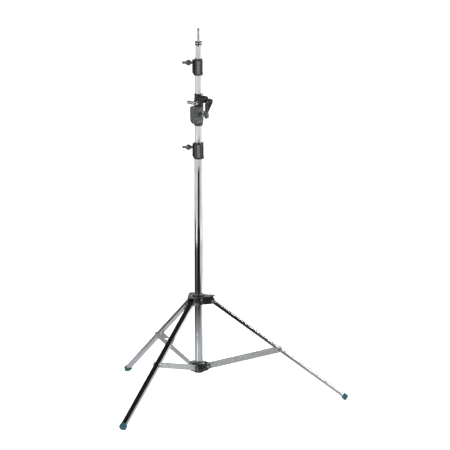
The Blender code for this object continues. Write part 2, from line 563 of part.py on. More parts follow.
def crank_unit(riser_1):
    unit = frame("crank_unit", turn(UNIT_TURN, "Z"), riser_1)
    shaft_line, lock_line = gear_housing(unit)
    inner, outer = RISER_2_OD / 2 + 0.0004, 0.0225
    low, high = 1.662 + GAP, 1.696
    profile = [(outer - 0.0015, high), (outer, high - 0.0015), (outer, low), (inner, low), (inner, high)]
    turned("guide_sleeve", profile, unit, PLASTIC, steps=30, ring=True)
    profile = [(0, 1.701), (0.0042, 1.701), (0.0052, 1.700), (0.0052, 1.664), (0.0030, 1.664)]
    profile += [(0.0030, 1.645), (0, 1.645)]
    turned("release_pin", profile, unit, ZINC, at(*RELEASE_PIN), 16)
    crank_train(unit, shaft_line)
    lock(unit, lock_line)


# ------------------------------------------------------------------ risers
def rack(riser_2):
    """A toothed strip let into the wall of riser 2, towards the pinion, and the slot that it lies in."""
    strip = frame("rack_frame", turn(UNIT_TURN - 90, "Z"), riser_2)
    back, root, half_width = 0.0156, RACK_FACE - TOOTH_DEPTH, 0.004
    first, last = -round(0.872 / RACK_PITCH), round(0.110 / RACK_PITCH)     # pitches from the shaft down, up
    shape = bmesh.new()
    ring = None
    for step in range(2 * first, 2 * last + 1):
        front = RACK_FACE if step % 2 else root
        height = SHAFT_Z + step * RACK_PITCH / 2
        corners = ((back, -half_width), (front, -half_width), (front, half_width), (back, half_width))
        following = [shape.verts.new((x, y, height)) for x, y in corners]
        if ring:
            for i in range(4):
                shape.faces.new((ring[i], ring[(i + 1) % 4], following[(i + 1) % 4], following[i]))
        else:
            shape.faces.new(following[::-1])
        ring = following
    shape.faces.new(ring)
    mesh = bpy.data.meshes.new("rack")
    shape.to_mesh(mesh)
    shape.free()
    add("rack", mesh, strip, STEEL, Matrix())
    low, high = SHAFT_Z + first * RACK_PITCH - GAP, SHAFT_Z + last * RACK_PITCH + GAP
    return block("rack_slot", (0.010, -half_width - GAP, low), (0.030, half_width + GAP, high), strip, None)


def risers(column):
    """The three risers, each in its own frame on the slide it moves along."""
    mid_step = riser_collar("mid_collar", *MID_COLLAR, MID_BARREL, BASE_OD, RISER_1_OD, MID_KNOB_Z, column)
    bush("mid_bush", RISER_1_OD, mid_step + 0.001, MID_COLLAR[1] - 0.001, column)
    left = turn(180, "Z")
    t_knob("mid_knob", 0.0345, frame("mid_knob_axis", at(0, 0, MID_KNOB_Z) @ left, column))
    pin_place = turn(-20, "Z") @ at(MID_BARREL + 0.001)
    rod("mid_collar_pin", 0.0040, MID_COLLAR[0] + 0.004, 0.0930, column, ZINC, pin_place, 12, edge=0.001)

    riser_1 = frame("riser_1_slide", Matrix(), column)
    tube("riser_1", RISER_1_OD, RISER_1_ID, RISER_1_BOTTOM, RISER_1_TOP, riser_1, CHROME)
    crank_unit(riser_1)

    riser_2 = frame("riser_2_slide", Matrix(), riser_1)
    middle = tube("riser_2", RISER_2_OD, RISER_2_ID, RISER_2_BOTTOM, RISER_2_TOP, riser_2, CHROME)
    cut(middle, rack(riser_2))
    top_step = riser_collar("top_collar", *TOP_COLLAR, TOP_BARREL, RISER_2_OD, RISER_3_OD, TOP_KNOB_Z, riser_2)
    bush("top_bush", RISER_3_OD, top_step + 0.001, TOP_COLLAR[1] - 0.001, riser_2)
    t_knob("top_knob", 0.0345, frame("top_knob_axis", at(0, 0, TOP_KNOB_Z) @ left, riser_2))
    pin_place = turn(-20, "Z") @ at(TOP_BARREL + 0.001)
    rod("top_collar_pin", 0.0040, TOP_COLLAR[0] + 0.004, 0.0890, riser_2, ZINC, pin_place, 12, edge=0.001)

    riser_3 = frame("riser_3_slide", Matrix(), riser_2)
    tube("riser_3", RISER_3_OD, RISER_3_ID, RISER_3_BOTTOM, RISER_3_TOP, riser_3, CHROME)
    stud(riser_3)


def stud(riser_3):
    """The spigot: plug in the riser, flange, two rubber rings with a bright collar between, a grooved head."""
    r, plug, flange = STUD_D / 2, RISER_3_ID / 2 - GAP, RISER_3_OD / 2
    profile = [(0, STUD_TOP), (r - 0.001, STUD_TOP), (r, STUD_TOP - 0.001), (r, 2.0400), (0.0060, 2.0370)]
    profile += [(0.0060, 2.0230), (r, 2.0200), (r, 1.9750), (0.0165, 1.9750), (0.0165, 1.9681), (r, 1.9681)]
    profile += [(r, 1.9620), (flange, 1.9620), (flange, RISER_3_TOP + GAP), (plug, RISER_3_TOP + GAP)]
    profile += [(plug, 1.9260), (plug - 0.001, 1.9250), (0, 1.9250)]
    turned("stud", profile, riser_3, CHROME, steps=24)
    for name, low in (("ring_lower", 1.9623), ("ring_upper", 1.9753)):
        high, outer, inner = low + 0.0055, 0.020, r + GAP
        ring = [(outer - 0.001, high), (outer, high - 0.001), (outer, low + 0.001), (outer - 0.001, low)]
        ring += [(inner, low), (inner, high)]
        turned(name, ring, riser_3, PLASTIC, steps=24, ring=True)


column_frame = frame("column", Matrix())
base_column(column_frame)
tripod(column_frame)
risers(column_frame)
for part in stand.objects:
    if part.type == "MESH":
        part.data.shade_smooth()
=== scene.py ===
"""Looks of the crank lighting stand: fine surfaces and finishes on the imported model, a studio and a camera."""

import json
import math

import bmesh
import bpy
from mathutils import Matrix, Vector

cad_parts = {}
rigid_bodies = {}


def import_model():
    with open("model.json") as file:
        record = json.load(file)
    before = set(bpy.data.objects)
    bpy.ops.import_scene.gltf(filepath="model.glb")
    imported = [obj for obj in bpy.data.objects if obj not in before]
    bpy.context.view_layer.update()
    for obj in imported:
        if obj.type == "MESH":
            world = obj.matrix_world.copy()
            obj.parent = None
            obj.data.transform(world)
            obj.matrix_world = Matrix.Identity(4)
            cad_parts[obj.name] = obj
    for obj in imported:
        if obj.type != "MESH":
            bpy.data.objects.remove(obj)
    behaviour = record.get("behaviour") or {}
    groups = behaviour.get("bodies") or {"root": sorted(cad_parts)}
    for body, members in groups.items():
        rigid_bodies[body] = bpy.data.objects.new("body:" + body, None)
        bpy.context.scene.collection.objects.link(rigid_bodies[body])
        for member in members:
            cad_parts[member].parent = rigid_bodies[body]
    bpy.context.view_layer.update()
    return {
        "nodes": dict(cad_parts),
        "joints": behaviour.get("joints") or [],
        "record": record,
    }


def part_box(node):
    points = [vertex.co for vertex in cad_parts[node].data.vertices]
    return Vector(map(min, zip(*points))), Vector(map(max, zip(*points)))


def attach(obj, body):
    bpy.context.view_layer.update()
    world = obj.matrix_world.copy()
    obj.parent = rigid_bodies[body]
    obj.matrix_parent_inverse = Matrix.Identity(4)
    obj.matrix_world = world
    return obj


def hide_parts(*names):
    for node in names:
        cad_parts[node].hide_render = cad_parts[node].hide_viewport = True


for old in list(bpy.data.objects):
    bpy.data.objects.remove(old, do_unlink=True)

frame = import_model()
NODES = frame["nodes"]
JOINTS = {joint["name"]: joint for joint in frame["joints"]}
BODY_OF = {node: body for body, nodes in frame["record"]["behaviour"]["bodies"].items() for node in nodes}

# ------------------------------------------------------------------ camera
AIM = Vector((0.1435, 0, 0.9727))
ELEVATION = math.radians(11.4)
DISTANCE = 27.1

lens = bpy.data.cameras.new("camera")
lens.lens, lens.sensor_width, lens.clip_end = 400, 36, 200
camera = bpy.data.objects.new("camera", lens)
bpy.context.scene.collection.objects.link(camera)
camera.location = AIM + DISTANCE * Vector((0, -math.cos(ELEVATION), math.sin(ELEVATION)))
camera.rotation_euler = (math.pi / 2 - ELEVATION, 0, 0)
bpy.context.scene.camera = camera
bpy.context.scene.view_settings.view_transform = "Standard"


# ------------------------------------------------------------------ materials
class Finish:
    """A node material built up in steps: a Principled shader, then patterns on its inputs."""

    def __init__(self, name, colour, roughness, metallic=0.0, coat=0.0, coat_roughness=0.1, specular=0.5):
        self.material = bpy.data.materials.new(name)
        self.material.use_nodes = True
        self.tree = self.material.node_tree
        self.shader = self.tree.nodes["Principled BSDF"]
        self.colour, self.roughness = colour, roughness
        for socket, value in (("Base Color", (*colour, 1)), ("Roughness", roughness), ("Metallic", metallic),
                              ("Coat Weight", coat), ("Coat Roughness", coat_roughness),
                              ("Specular IOR Level", specular)):
            self.shader.inputs[socket].default_value = value
        self.place = self.node("ShaderNodeTexCoord").outputs["Object"]
        self.tint = None
        self.height = None

    def node(self, kind, **inputs):
        made = self.tree.nodes.new(kind)
        for name, value in inputs.items():
            made.inputs[name].default_value = value
        return made

    def link(self, start, end):
        self.tree.links.new(start, end)

    def noise(self, scale, stretch=(1, 1, 1), detail=3.0, roughness=0.5, kind="ShaderNodeTexNoise"):
        """A pattern in the piece's own coordinates, with values about 0 to 1."""
        mapping = self.node("ShaderNodeMapping", Scale=stretch)
        self.link(self.place, mapping.inputs["Vector"])
        made = self.node(kind, Scale=scale)
        if kind == "ShaderNodeTexNoise":
            made.inputs["Detail"].default_value = detail
            made.inputs["Roughness"].default_value = roughness
        self.link(mapping.outputs["Vector"], made.inputs["Vector"])
        return made.outputs["Fac" if kind == "ShaderNodeTexNoise" else "Distance"]

    def ramp(self, source, low, high, start=0.0, end=1.0):
        made = self.node("ShaderNodeMapRange")
        for name, value in (("From Min", low), ("From Max", high), ("To Min", start), ("To Max", end)):
            made.inputs[name].default_value = value
        self.link(source, made.inputs["Value"])
        return made.outputs["Result"]

    def mix(self, factor, other):
        """Blends the colour so far towards another one where factor is high."""
        made = self.tree.nodes.new("ShaderNodeMix")
        made.data_type = "RGBA"
        made.inputs[6].default_value = (*self.colour, 1)
        made.inputs[7].default_value = (*other, 1)
        if self.tint:
            self.link(self.tint, made.inputs[6])
        self.link(factor, made.inputs[0])
        self.tint = made.outputs[2]
        self.link(self.tint, self.shader.inputs["Base Color"])
        return self

    def rough(self, source, low, high, spread):
        """Roughness that runs with a pattern, spread either side of the base value."""
        made = self.ramp(source, low, high, max(self.roughness - spread, 0.02), self.roughness + spread)
        self.link(made, self.shader.inputs["Roughness"])
        return self

    def bump(self, source, distance, strength=1.0):
        made = self.node("ShaderNodeBump", Strength=strength, Distance=distance)
        self.link(source, made.inputs["Height"])
        if self.height:
            self.link(self.height, made.inputs["Normal"])
        self.height = made.outputs["Normal"]
        self.link(self.height, self.shader.inputs["Normal"])
        return self

    def worn(self, colour, low=0.53, high=0.60):
        """Bare edges: the outer corners of the surface show another colour."""
        edges = self.node("ShaderNodeNewGeometry").outputs["Pointiness"]
        return self.mix(self.ramp(edges, low, high, 0.0, 0.75), colour)


def chrome(name, colour, along, roughness=0.075):
    """Plated tube: faint drawing lines along it and soft clouding."""
    drawn = tuple(0.02 if axis == along else 1.0 for axis in "XYZ")
    made = Finish(name, colour, roughness, 1.0)
    lines = made.noise(900, drawn, 2.0)
    clouds = made.noise(14, (1, 1, 1), 4.0)
    made.mix(made.ramp(clouds, 0.35, 0.75), tuple(0.86 * value for value in colour))
    made.rough(clouds, 0.3, 0.75, 0.035)
    return made.bump(lines, 0.00001, 0.10)


def steel(name, colour, roughness, grain=700):
    """Plated or machined steel: fine grain, duller patches."""
    made = Finish(name, colour, roughness, 1.0)
    patches = made.noise(55, (1, 1, 1), 4.0)
    grains = made.noise(grain, (1, 1, 1), 2.0)
    made.mix(made.ramp(patches, 0.4, 0.8), tuple(0.72 * value for value in colour))
    made.rough(patches, 0.3, 0.7, 0.08)
    return made.bump(grains, 0.00002, 0.25)


def enamel(name, colour, roughness, wear, coat):
    """Enamel over a sand-cast surface: slight orange peel, dull dusty patches, bright worn edges."""
    made = Finish(name, colour, roughness, 0.0, coat, 0.16)
    peel = made.noise(420, (1, 1, 1), 2.0)
    sand = made.noise(95, (1, 1, 1), 3.0)
    dust = made.noise(28, (1, 1, 1), 4.0)
    made.mix(made.ramp(dust, 0.45, 0.8, 0.0, 0.5), tuple(value * 1.9 + 0.006 for value in colour))
    made.worn(wear)
    made.rough(dust, 0.3, 0.75, 0.09)
    return made.bump(sand, 0.00012, 0.35).bump(peel, 0.00004, 0.4)


def moulded(name, colour, roughness, grain=1600, scuff=(0.1, 0.1, 0.1)):
    """Moulded plastic or rubber: spark-eroded grain and a few pale scuffs."""
    made = Finish(name, colour, roughness)
    grains = made.noise(grain, kind="ShaderNodeTexVoronoi")
    scuffs = made.noise(60, (1, 1, 3), 5.0, 0.65)
    made.mix(made.ramp(scuffs, 0.62, 0.8, 0.0, 0.6), scuff)
    made.rough(scuffs, 0.3, 0.75, 0.10)
    return made.bump(grains, 0.00005, 0.35)


LOOKS = {
    "base_chrome": chrome("base_chrome", (0.78, 0.79, 0.805), "Z", 0.05),
    "riser_chrome": chrome("riser_chrome", (0.86, 0.87, 0.885), "Z", 0.05),
    "leg_chrome": chrome("leg_chrome", (0.72, 0.73, 0.74), "X", 0.08),
    "zinc_plate": steel("zinc_plate", (0.78, 0.79, 0.78), 0.42, 500),
    "bolt_steel": steel("bolt_steel", (0.50, 0.51, 0.52), 0.27, 900),
    "bright_steel": steel("bright_steel", (0.78, 0.79, 0.80), 0.20, 900),
    "black_casting": enamel("black_casting", (0.010, 0.011, 0.011), 0.22, (0.16, 0.16, 0.15), 0.45),
    "grey_casting": enamel("grey_casting", (0.040, 0.045, 0.042), 0.28, (0.30, 0.31, 0.29), 0.35),
    # painted highlight: the pale steel of the plates on the riser collars' fronts
    "painted_highlight_steel": steel("painted_highlight_steel", (0.62, 0.61, 0.56), 0.42, 900),
    "black_plastic": moulded("black_plastic", (0.013, 0.013, 0.014), 0.40),
    "rubber": moulded("rubber", (0.020, 0.020, 0.021), 0.62, 900, (0.07, 0.07, 0.068)),
    "nylon": moulded("nylon", (0.70, 0.69, 0.65), 0.48, 1200, (0.45, 0.44, 0.40)),
    "foot_plastic": moulded("foot_plastic", (0.006, 0.072, 0.105), 0.42, 1300, (0.05, 0.12, 0.15)),
}
LOOKS = {name: look.material for name, look in LOOKS.items()}


def paint(obj, look):
    obj.data.materials.clear()
    obj.data.materials.append(LOOKS[look])


# ------------------------------------------------------------------ shapes
X_AXIS = Matrix.Rotation(math.pi / 2, 4, "Y")
Y_AXIS = Matrix.Rotation(-math.pi / 2, 4, "X")
FACING_FRONT = Matrix.Rotation(math.pi / 2, 4, "X")
SIDEWAYS = Matrix(((0, 0, 1, 0), (1, 0, 0, 0), (0, 1, 0, 0), (0, 0, 0, 1)))  # an outline (x, y) to (y, z)


def at(x=0.0, y=0.0, z=0.0):
    return Matrix.Translation((x, y, z))


def turn(degrees, axis):
    return Matrix.Rotation(math.radians(degrees), 4, axis)


def made_of(name, shape, place):
    """An object of this bmesh, its faces pointing out and its round parts shaded smooth."""
    bmesh.ops.recalc_face_normals(shape, faces=shape.faces)
    mesh = bpy.data.meshes.new(name)
    shape.to_mesh(mesh)
    shape.free()
    obj = bpy.data.objects.new(name, mesh)
    bpy.context.scene.collection.objects.link(obj)
    obj.matrix_world = place
    mesh.shade_smooth()
    mesh.set_sharp_from_angle(angle=math.radians(38))
    return obj


def softened(profile, radius, ring):
    """The same profile with each corner rounded off by a small curve."""
    points = []
    count = len(profile)
    for i, corner in enumerate(profile):
        here = Vector(corner)
        if radius == 0 or (not ring and i in (0, count - 1)):
            points.append(here)
            continue
        before, after = Vector(profile[i - 1]) - here, Vector(profile[(i + 1) % count]) - here
        reach = min(radius, 0.45 * before.length, 0.45 * after.length)
        start, end = here + before.normalized() * reach, here + after.normalized() * reach
        points += [start.lerp(here, t).lerp(here.lerp(end, t), t) for t in (0, 1 / 3, 2 / 3, 1)]
    return points


def turned(name, profile, place=Matrix(), steps=96, edge=0.0006, ring=False, wave=None):
    """A turned piece about its own Z. wave(angle, height) adds flutes or ribs to the radius."""
    shape = bmesh.new()
    rows = []
    for radius, height in softened(profile, edge, ring):
        if radius < 1e-6:
            rows.append([shape.verts.new((0, 0, height))])
            continue
        row = []
        for step in range(steps):
            angle = 2 * math.pi * step / steps
            grown = radius + (wave(angle, height, radius) if wave else 0)
            row.append(shape.verts.new((grown * math.cos(angle), grown * math.sin(angle), height)))
        rows.append(row)
    for first, second in zip(rows, rows[1:] + rows[:1] if ring else rows[1:]):
        for step in range(steps):
            following = (step + 1) % steps
            corners = [first[step % len(first)], first[following % len(first)],
                       second[following % len(second)], second[step % len(second)]]
            corners = list(dict.fromkeys(corners))
            if len(corners) > 2:
                shape.faces.new(corners)
    return made_of(name, shape, place)


def plate(name, outlines, thickness, place=Matrix(), edge=0.0005, segments=2):
    """A flat piece: the first outline and the holes in it, centred on its own z = 0, its rims rounded."""
    curve = bpy.data.curves.new(name, "CURVE")
    curve.dimensions, curve.fill_mode, curve.extrude = "2D", "BOTH", thickness / 2
    for outline in outlines:
        spline = curve.splines.new("POLY")
        spline.points.add(len(outline) - 1)
        for point, (x, y) in zip(spline.points, outline):
            point.co = (x, y, 0, 1)
        spline.use_cyclic_u = True
    guide = bpy.data.objects.new(name + "_outline", curve)
    bpy.context.scene.collection.objects.link(guide)
    bpy.context.view_layer.update()
    mesh = bpy.data.meshes.new_from_object(guide.evaluated_get(bpy.context.evaluated_depsgraph_get()))
    bpy.data.objects.remove(guide)
    shape = bmesh.new()
    shape.from_mesh(mesh)
    bmesh.ops.remove_doubles(shape, verts=shape.verts, dist=0.000001)
    bmesh.ops.dissolve_limit(shape, angle_limit=0.01, verts=shape.verts, edges=shape.edges)
    obj = made_of(name, shape, place)
    obj.data.materials.clear()
    if edge:
        bevel = obj.modifiers.new("edges", "BEVEL")
        bevel.width, bevel.segments = edge, segments
        bevel.limit_method, bevel.angle_limit = "ANGLE", math.radians(50)
    return obj


def block(name, low, high, place=Matrix(), edge=0.0008, segments=3):
    shape = bmesh.new()
    size, centre = Vector(high) - Vector(low), (Vector(high) + Vector(low)) / 2
    bmesh.ops.create_cube(shape, size=1, matrix=Matrix.Translation(centre) @ Matrix.Diagonal((*size, 1)))
    obj = made_of(name, shape, place)
    if edge:
        bevel = obj.modifiers.new("edges", "BEVEL")
        bevel.width, bevel.segments = edge, segments
    return obj


def rod(name, radius, start, end, place=Matrix(), edge=0.0006, steps=48):
    return turned(name, [(0, end), (radius, end), (radius, start), (0, start)], place, steps, edge)


def hose(name, inner, outer, low, high, place=Matrix(), edge=0.0006, steps=96):
    profile = [(outer, high), (outer, low), (inner, low), (inner, high)]
    return turned(name, profile, place, steps, edge, ring=True)


def arc(x, y, radius, start, end, count=12):
    angles = [math.radians(start + (end - start) * i / count) for i in range(count + 1)]
    return [(x + radius * math.cos(a), y + radius * math.sin(a)) for a in angles]


def circle(x, y, radius, count=36):
    return arc(x, y, radius, 0, 360 - 360 / count, count - 1)


def rounded(width, height, radius, count=6):
    x, y = width / 2 - radius, height / 2 - radius
    corners = [(x, y, 0), (-x, y, 90), (-x, -y, 180), (x, -y, 270)]
    return [point for cx, cy, a in corners for point in arc(cx, cy, radius, a, a + 90, count)]


def baked(obj):
    """The object's evaluated mesh, in the row frame."""
    bpy.context.view_layer.update()
    mesh = bpy.data.meshes.new_from_object(obj.evaluated_get(bpy.context.evaluated_depsgraph_get()))
    mesh.transform(obj.matrix_world)
    return mesh


def copy_of(node):
    """A loose copy of a CAD node, its split corners welded, to build a finer piece from."""
    shape = bmesh.new()
    shape.from_mesh(NODES[node].data)
    bmesh.ops.remove_doubles(shape, verts=shape.verts, dist=0.000002)
    return made_of(node + "_copy", shape, Matrix())


def one_body(name, solids, place=Matrix()):
    """The solids' meshes in one object, still separate shells, in the given frame."""
    shape = bmesh.new()
    for solid in solids:
        mesh = baked(solid)
        shape.from_mesh(mesh)
        bpy.data.meshes.remove(mesh)
        bpy.data.objects.remove(solid)
    shape.transform(place.inverted())
    return made_of(name, shape, place)


def apply_all(obj):
    """Turns the object's modifiers into its mesh."""
    bpy.context.view_layer.update()
    mesh = bpy.data.meshes.new_from_object(obj.evaluated_get(bpy.context.evaluated_depsgraph_get()))
    obj.modifiers.clear()
    obj.data = mesh
    mesh.shade_smooth()
    mesh.set_sharp_from_angle(angle=math.radians(45))
    return obj


def combine(obj, tool, operation):
    """Applies a Boolean with the tool's evaluated mesh, and uses the tool up."""
    mesh = baked(tool)
    mesh.transform(obj.matrix_world.inverted())
    bpy.data.objects.remove(tool)
    helper = bpy.data.objects.new("helper", mesh)
    bpy.context.scene.collection.objects.link(helper)
    helper.matrix_world = obj.matrix_world
    step = obj.modifiers.new("step", "BOOLEAN")
    step.operation, step.object, step.solver = operation, helper, "MANIFOLD"
    apply_all(obj)
    bpy.data.objects.remove(helper)


def cut(obj, *tools):
    for tool in tools:
        combine(obj, tool, "DIFFERENCE")
    return obj


def cast(name, solids, voxel=0.0007, soften=4, share=0.35, place=Matrix()):
    """Solids fused into one skin, the corners between them filled as they are in a casting."""
    obj = one_body(name, solids, place)
    skin = obj.modifiers.new("skin", "REMESH")
    skin.mode, skin.voxel_size, skin.use_smooth_shade = "VOXEL", voxel, True
    soft = obj.modifiers.new("soft", "SMOOTH")
    soft.factor, soft.iterations = 0.5, soften
    fewer = obj.modifiers.new("fewer", "DECIMATE")
    fewer.ratio = share
    return apply_all(obj)


def place_of(obj, node, look, *more):
    """Finishes a piece: its look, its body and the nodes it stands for."""
    paint(obj, look)
    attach(obj, BODY_OF[node])
    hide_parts(node, *more)
    return obj


def detail(obj, body, look, slot):
    """A piece that no CAD node stands for."""
    paint(obj, look)
    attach(obj, body)
    return obj


# ------------------------------------------------------------------ places taken from the frame
GAP = 0.0003                     # left between pieces that touch
TUBE_WALL = 0.002
SIDES = {"right": 0, "back": 120, "front": 240}
LEG_WIDTH, LEG_HEIGHT, LEG_WALL = 0.030, 0.020, 0.002
BRACE_WIDTH, BRACE_HEIGHT, BRACE_WALL = 0.036, 0.029, 0.002


def middle(node):
    low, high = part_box(node)
    return (low + high) / 2


leg_pivot = Vector(JOINTS["leg_right_hinge"]["pos_m"])
brace_pivot = Vector(JOINTS["brace_right_hinge"]["pos_m"])
leg_joint = middle("brace_bolt_right")
LEG_ANGLE = math.atan2(leg_pivot.z - leg_joint.z, leg_joint.x - leg_pivot.x)
BRACE_ANGLE = math.atan2(leg_joint.z - brace_pivot.z, leg_joint.x - brace_pivot.x)
BRACE_LENGTH = math.hypot(leg_joint.z - brace_pivot.z, leg_joint.x - brace_pivot.x)
BRACE_ON_LEG = math.hypot(leg_pivot.z - leg_joint.z, leg_joint.x - leg_pivot.x)
LEG_END = (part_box("leg_right")[1].x - leg_pivot.x
           - LEG_HEIGHT / 2 * math.sin(LEG_ANGLE)) / math.cos(LEG_ANGLE)

crank_axis = Vector(JOINTS["crank_turn"]["axis"])
UNIT_TURN = math.degrees(math.atan2(crank_axis.y, crank_axis.x))
unit = turn(UNIT_TURN, "Z")
shaft = unit.inverted() @ Vector(JOINTS["crank_turn"]["pos_m"])
grip = unit.inverted() @ Vector(JOINTS["grip_turn"]["pos_m"])
CRANK_LEAN = math.degrees(math.atan2(shaft.y - grip.y, grip.z - shaft.z))
CRANK_LENGTH = math.hypot(shaft.y - grip.y, grip.z - shaft.z)
lock_axis = unit.inverted() @ Vector(JOINTS["lock_lever_turn"]["pos_m"])
RELEASE_PIN = (0.0282, -0.0058)  # its place in the unit's own frame


# ------------------------------------------------------------------ fasteners
def bolt(name, radius, length, head_r, head, place, nut=0.0, thread=0.0):
    """Hex head and washer below 0, shank up to length, then a washer and a lock nut with its nylon collar."""
    washer = 0.0009
    hexagon = [(0, -head), (head_r * 0.86, -head), (head_r, -head + 0.0008), (head_r, -washer), (0, -washer)]
    ring = [(0, -washer), (head_r * 1.16, -washer), (head_r * 1.16, 0), (0, 0)]
    solids = [
        turned(name + "_head", hexagon, place, 6, 0),
        turned(name + "_washer", ring, place, 48, 0.0003),
        rod(name + "_shank", radius, -0.0002, length + 0.0002, place, 0.0002),
    ]
    if nut:
        outer, seat, shoulder = head_r * 0.95, length + washer, length + nut * 0.85
        hexagon = [(0, seat), (outer, seat), (outer, length + nut * 0.7), (outer * 0.86, shoulder),
                   (0, shoulder)]
        nylon_r, nylon_low = radius * 1.45, length + nut * 0.5
        nylon = [(0, length + nut), (nylon_r, length + nut), (nylon_r, nylon_low), (0, nylon_low)]
        ring = [(0, length), (outer * 1.16, length), (outer * 1.16, seat), (0, seat)]
        solids.append(turned(name + "_nut", hexagon, place, 6, 0))
        solids.append(turned(name + "_lock", nylon, place, 40, 0.0003))
        solids.append(turned(name + "_nut_washer", ring, place, 48, 0.0003))
    return one_body(name, solids, place)


def socket_screw(name, radius, length, head_r, head, place):
    """A round head below 0 with a hexagon socket in it."""
    outline = [(0, length), (radius, length), (radius, 0), (head_r, 0), (head_r, -head), (0, -head)]
    screw = turned(name, outline, place, 40, 0.0004)
    key_r, bottom, mouth = head_r * 0.5, -head * 0.3, -head - 0.001
    socket = [(0, bottom), (key_r, bottom), (key_r, mouth), (0, mouth)]
    return cut(screw, turned(name + "_socket", socket, place, 6, 0))


# ------------------------------------------------------------------ column
def fine_tube(node):
    """The node's tube with a finely rounded rim at each end."""
    low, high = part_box(node)
    outer = high.x
    return hose(node + "_tube", outer - TUBE_WALL, outer, low.z, high.z, edge=0.0010, steps=128)


def column():
    """The base tube and the three risers, the rack's slot in the middle one, and the plug under the base."""
    for node, look in (("base_tube", "base_chrome"), ("riser_1", "riser_chrome"),
                       ("riser_3", "riser_chrome")):
        place_of(fine_tube(node), node, look)
    riser_2 = fine_tube("riser_2")
    low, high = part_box("rack")
    half = 0.004 + GAP
    slot = block("rack_slot", (0.010, -half, low.z - GAP), (0.030, half, high.z + GAP),
                 turn(UNIT_TURN - 90, "Z"), 0)
    place_of(cut(riser_2, slot), "riser_2", "riser_chrome")
    paint(NODES["rack"], "bolt_steel")

    low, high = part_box("base_end_plug")
    flange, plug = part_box("base_tube")[0].z - GAP, 0.0202
    profile = [(0, high.z), (plug, high.z), (plug, flange), (high.x, flange), (high.x, low.z),
               (0.012, low.z), (0.010, low.z + 0.0015), (0, low.z + 0.0015)]
    place_of(turned("base_plug", profile, edge=0.0010), "base_end_plug", "black_plastic")


def spigot():
    """The 16 mm stud with its screw groove, and the two rubber rings on it."""
    r, plug, flange = 0.008, 0.0127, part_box("riser_3")[1].x
    top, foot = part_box("stud")[1].z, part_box("riser_3")[1].z
    profile = [(0, top), (r, top), (r, 2.0400), (0.0060, 2.0370), (0.0060, 2.0230), (r, 2.0200), (r, 1.9750),
               (0.0165, 1.9750), (0.0165, 1.9681), (r, 1.9681), (r, 1.9620), (flange, 1.9620),
               (flange, foot + 0.0003), (plug, foot + 0.0003), (plug, 1.9250), (0, 1.9250)]
    place_of(turned("spigot", profile, edge=0.0008), "stud", "bright_steel")
    for node in ("ring_lower", "ring_upper"):
        low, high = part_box(node)
        profile = [(high.x, high.z - 0.0002), (high.x, low.z + 0.0002), (r + 0.0003, low.z),
                   (r + 0.0003, high.z)]
        place_of(turned(node + "_rubber", profile, edge=0.0007, ring=True), node, "rubber")


# ------------------------------------------------------------------ knobs
def knob_mesh():
    """A die-cast T-knob along its own +X, its neck at 0: hub, two full wings, a round nose and the screw."""
    profile = [(0, 0.053), (0.0052, 0.053), (0.0072, 0.0505), (0.0074, 0.0440), (0.0062, 0.0380),
               (0.0095, 0.0310), (0.0118, 0.0230), (0.0112, 0.0120), (0.0088, 0.0060), (0.0079, 0.0004),
               (0, 0.0004)]
    wing = [(0.0190 + x, y) for x, y in circle(0, 0, 0.0159)]
    solids = [turned("knob_hub", profile, X_AXIS, edge=0.0018),
              plate("knob_wings", [wing], 0.0085, turn(-90, "X"), 0.0028, 4)]
    body = cast("knob", solids, 0.00045, 7, 0.30)
    thread = turned("knob_screw", [(0, 0.0035), (0.0051, 0.0035), (0.0051, -0.012), (0, -0.012)], X_AXIS, 48,
                    0.0005)
    knob = one_body("knob", [body, thread])
    mesh = knob.data
    bpy.data.objects.remove(knob)
    return mesh


def knobs():
    """The same knob on both riser collars, and on the slanting boss of the leg collar."""
    mesh = knob_mesh()
    clamp = at(-0.0215, 0, 0.5765) @ turn(180, "Z") @ turn(51.5, "Y")
    places = {"mid_knob": at(0, 0, JOINTS["mid_knob_turn"]["pos_m"][2]) @ turn(180, "Z") @ at(0.0345),
              "top_knob": at(0, 0, JOINTS["top_knob_turn"]["pos_m"][2]) @ turn(180, "Z") @ at(0.0345),
              "leg_knob": clamp @ at(0.0395)}
    for node, place in places.items():
        made = bpy.data.objects.new("t_" + node, mesh.copy())
        bpy.context.scene.collection.objects.link(made)
        made.matrix_world = place
        place_of(made, node, "grey_casting")


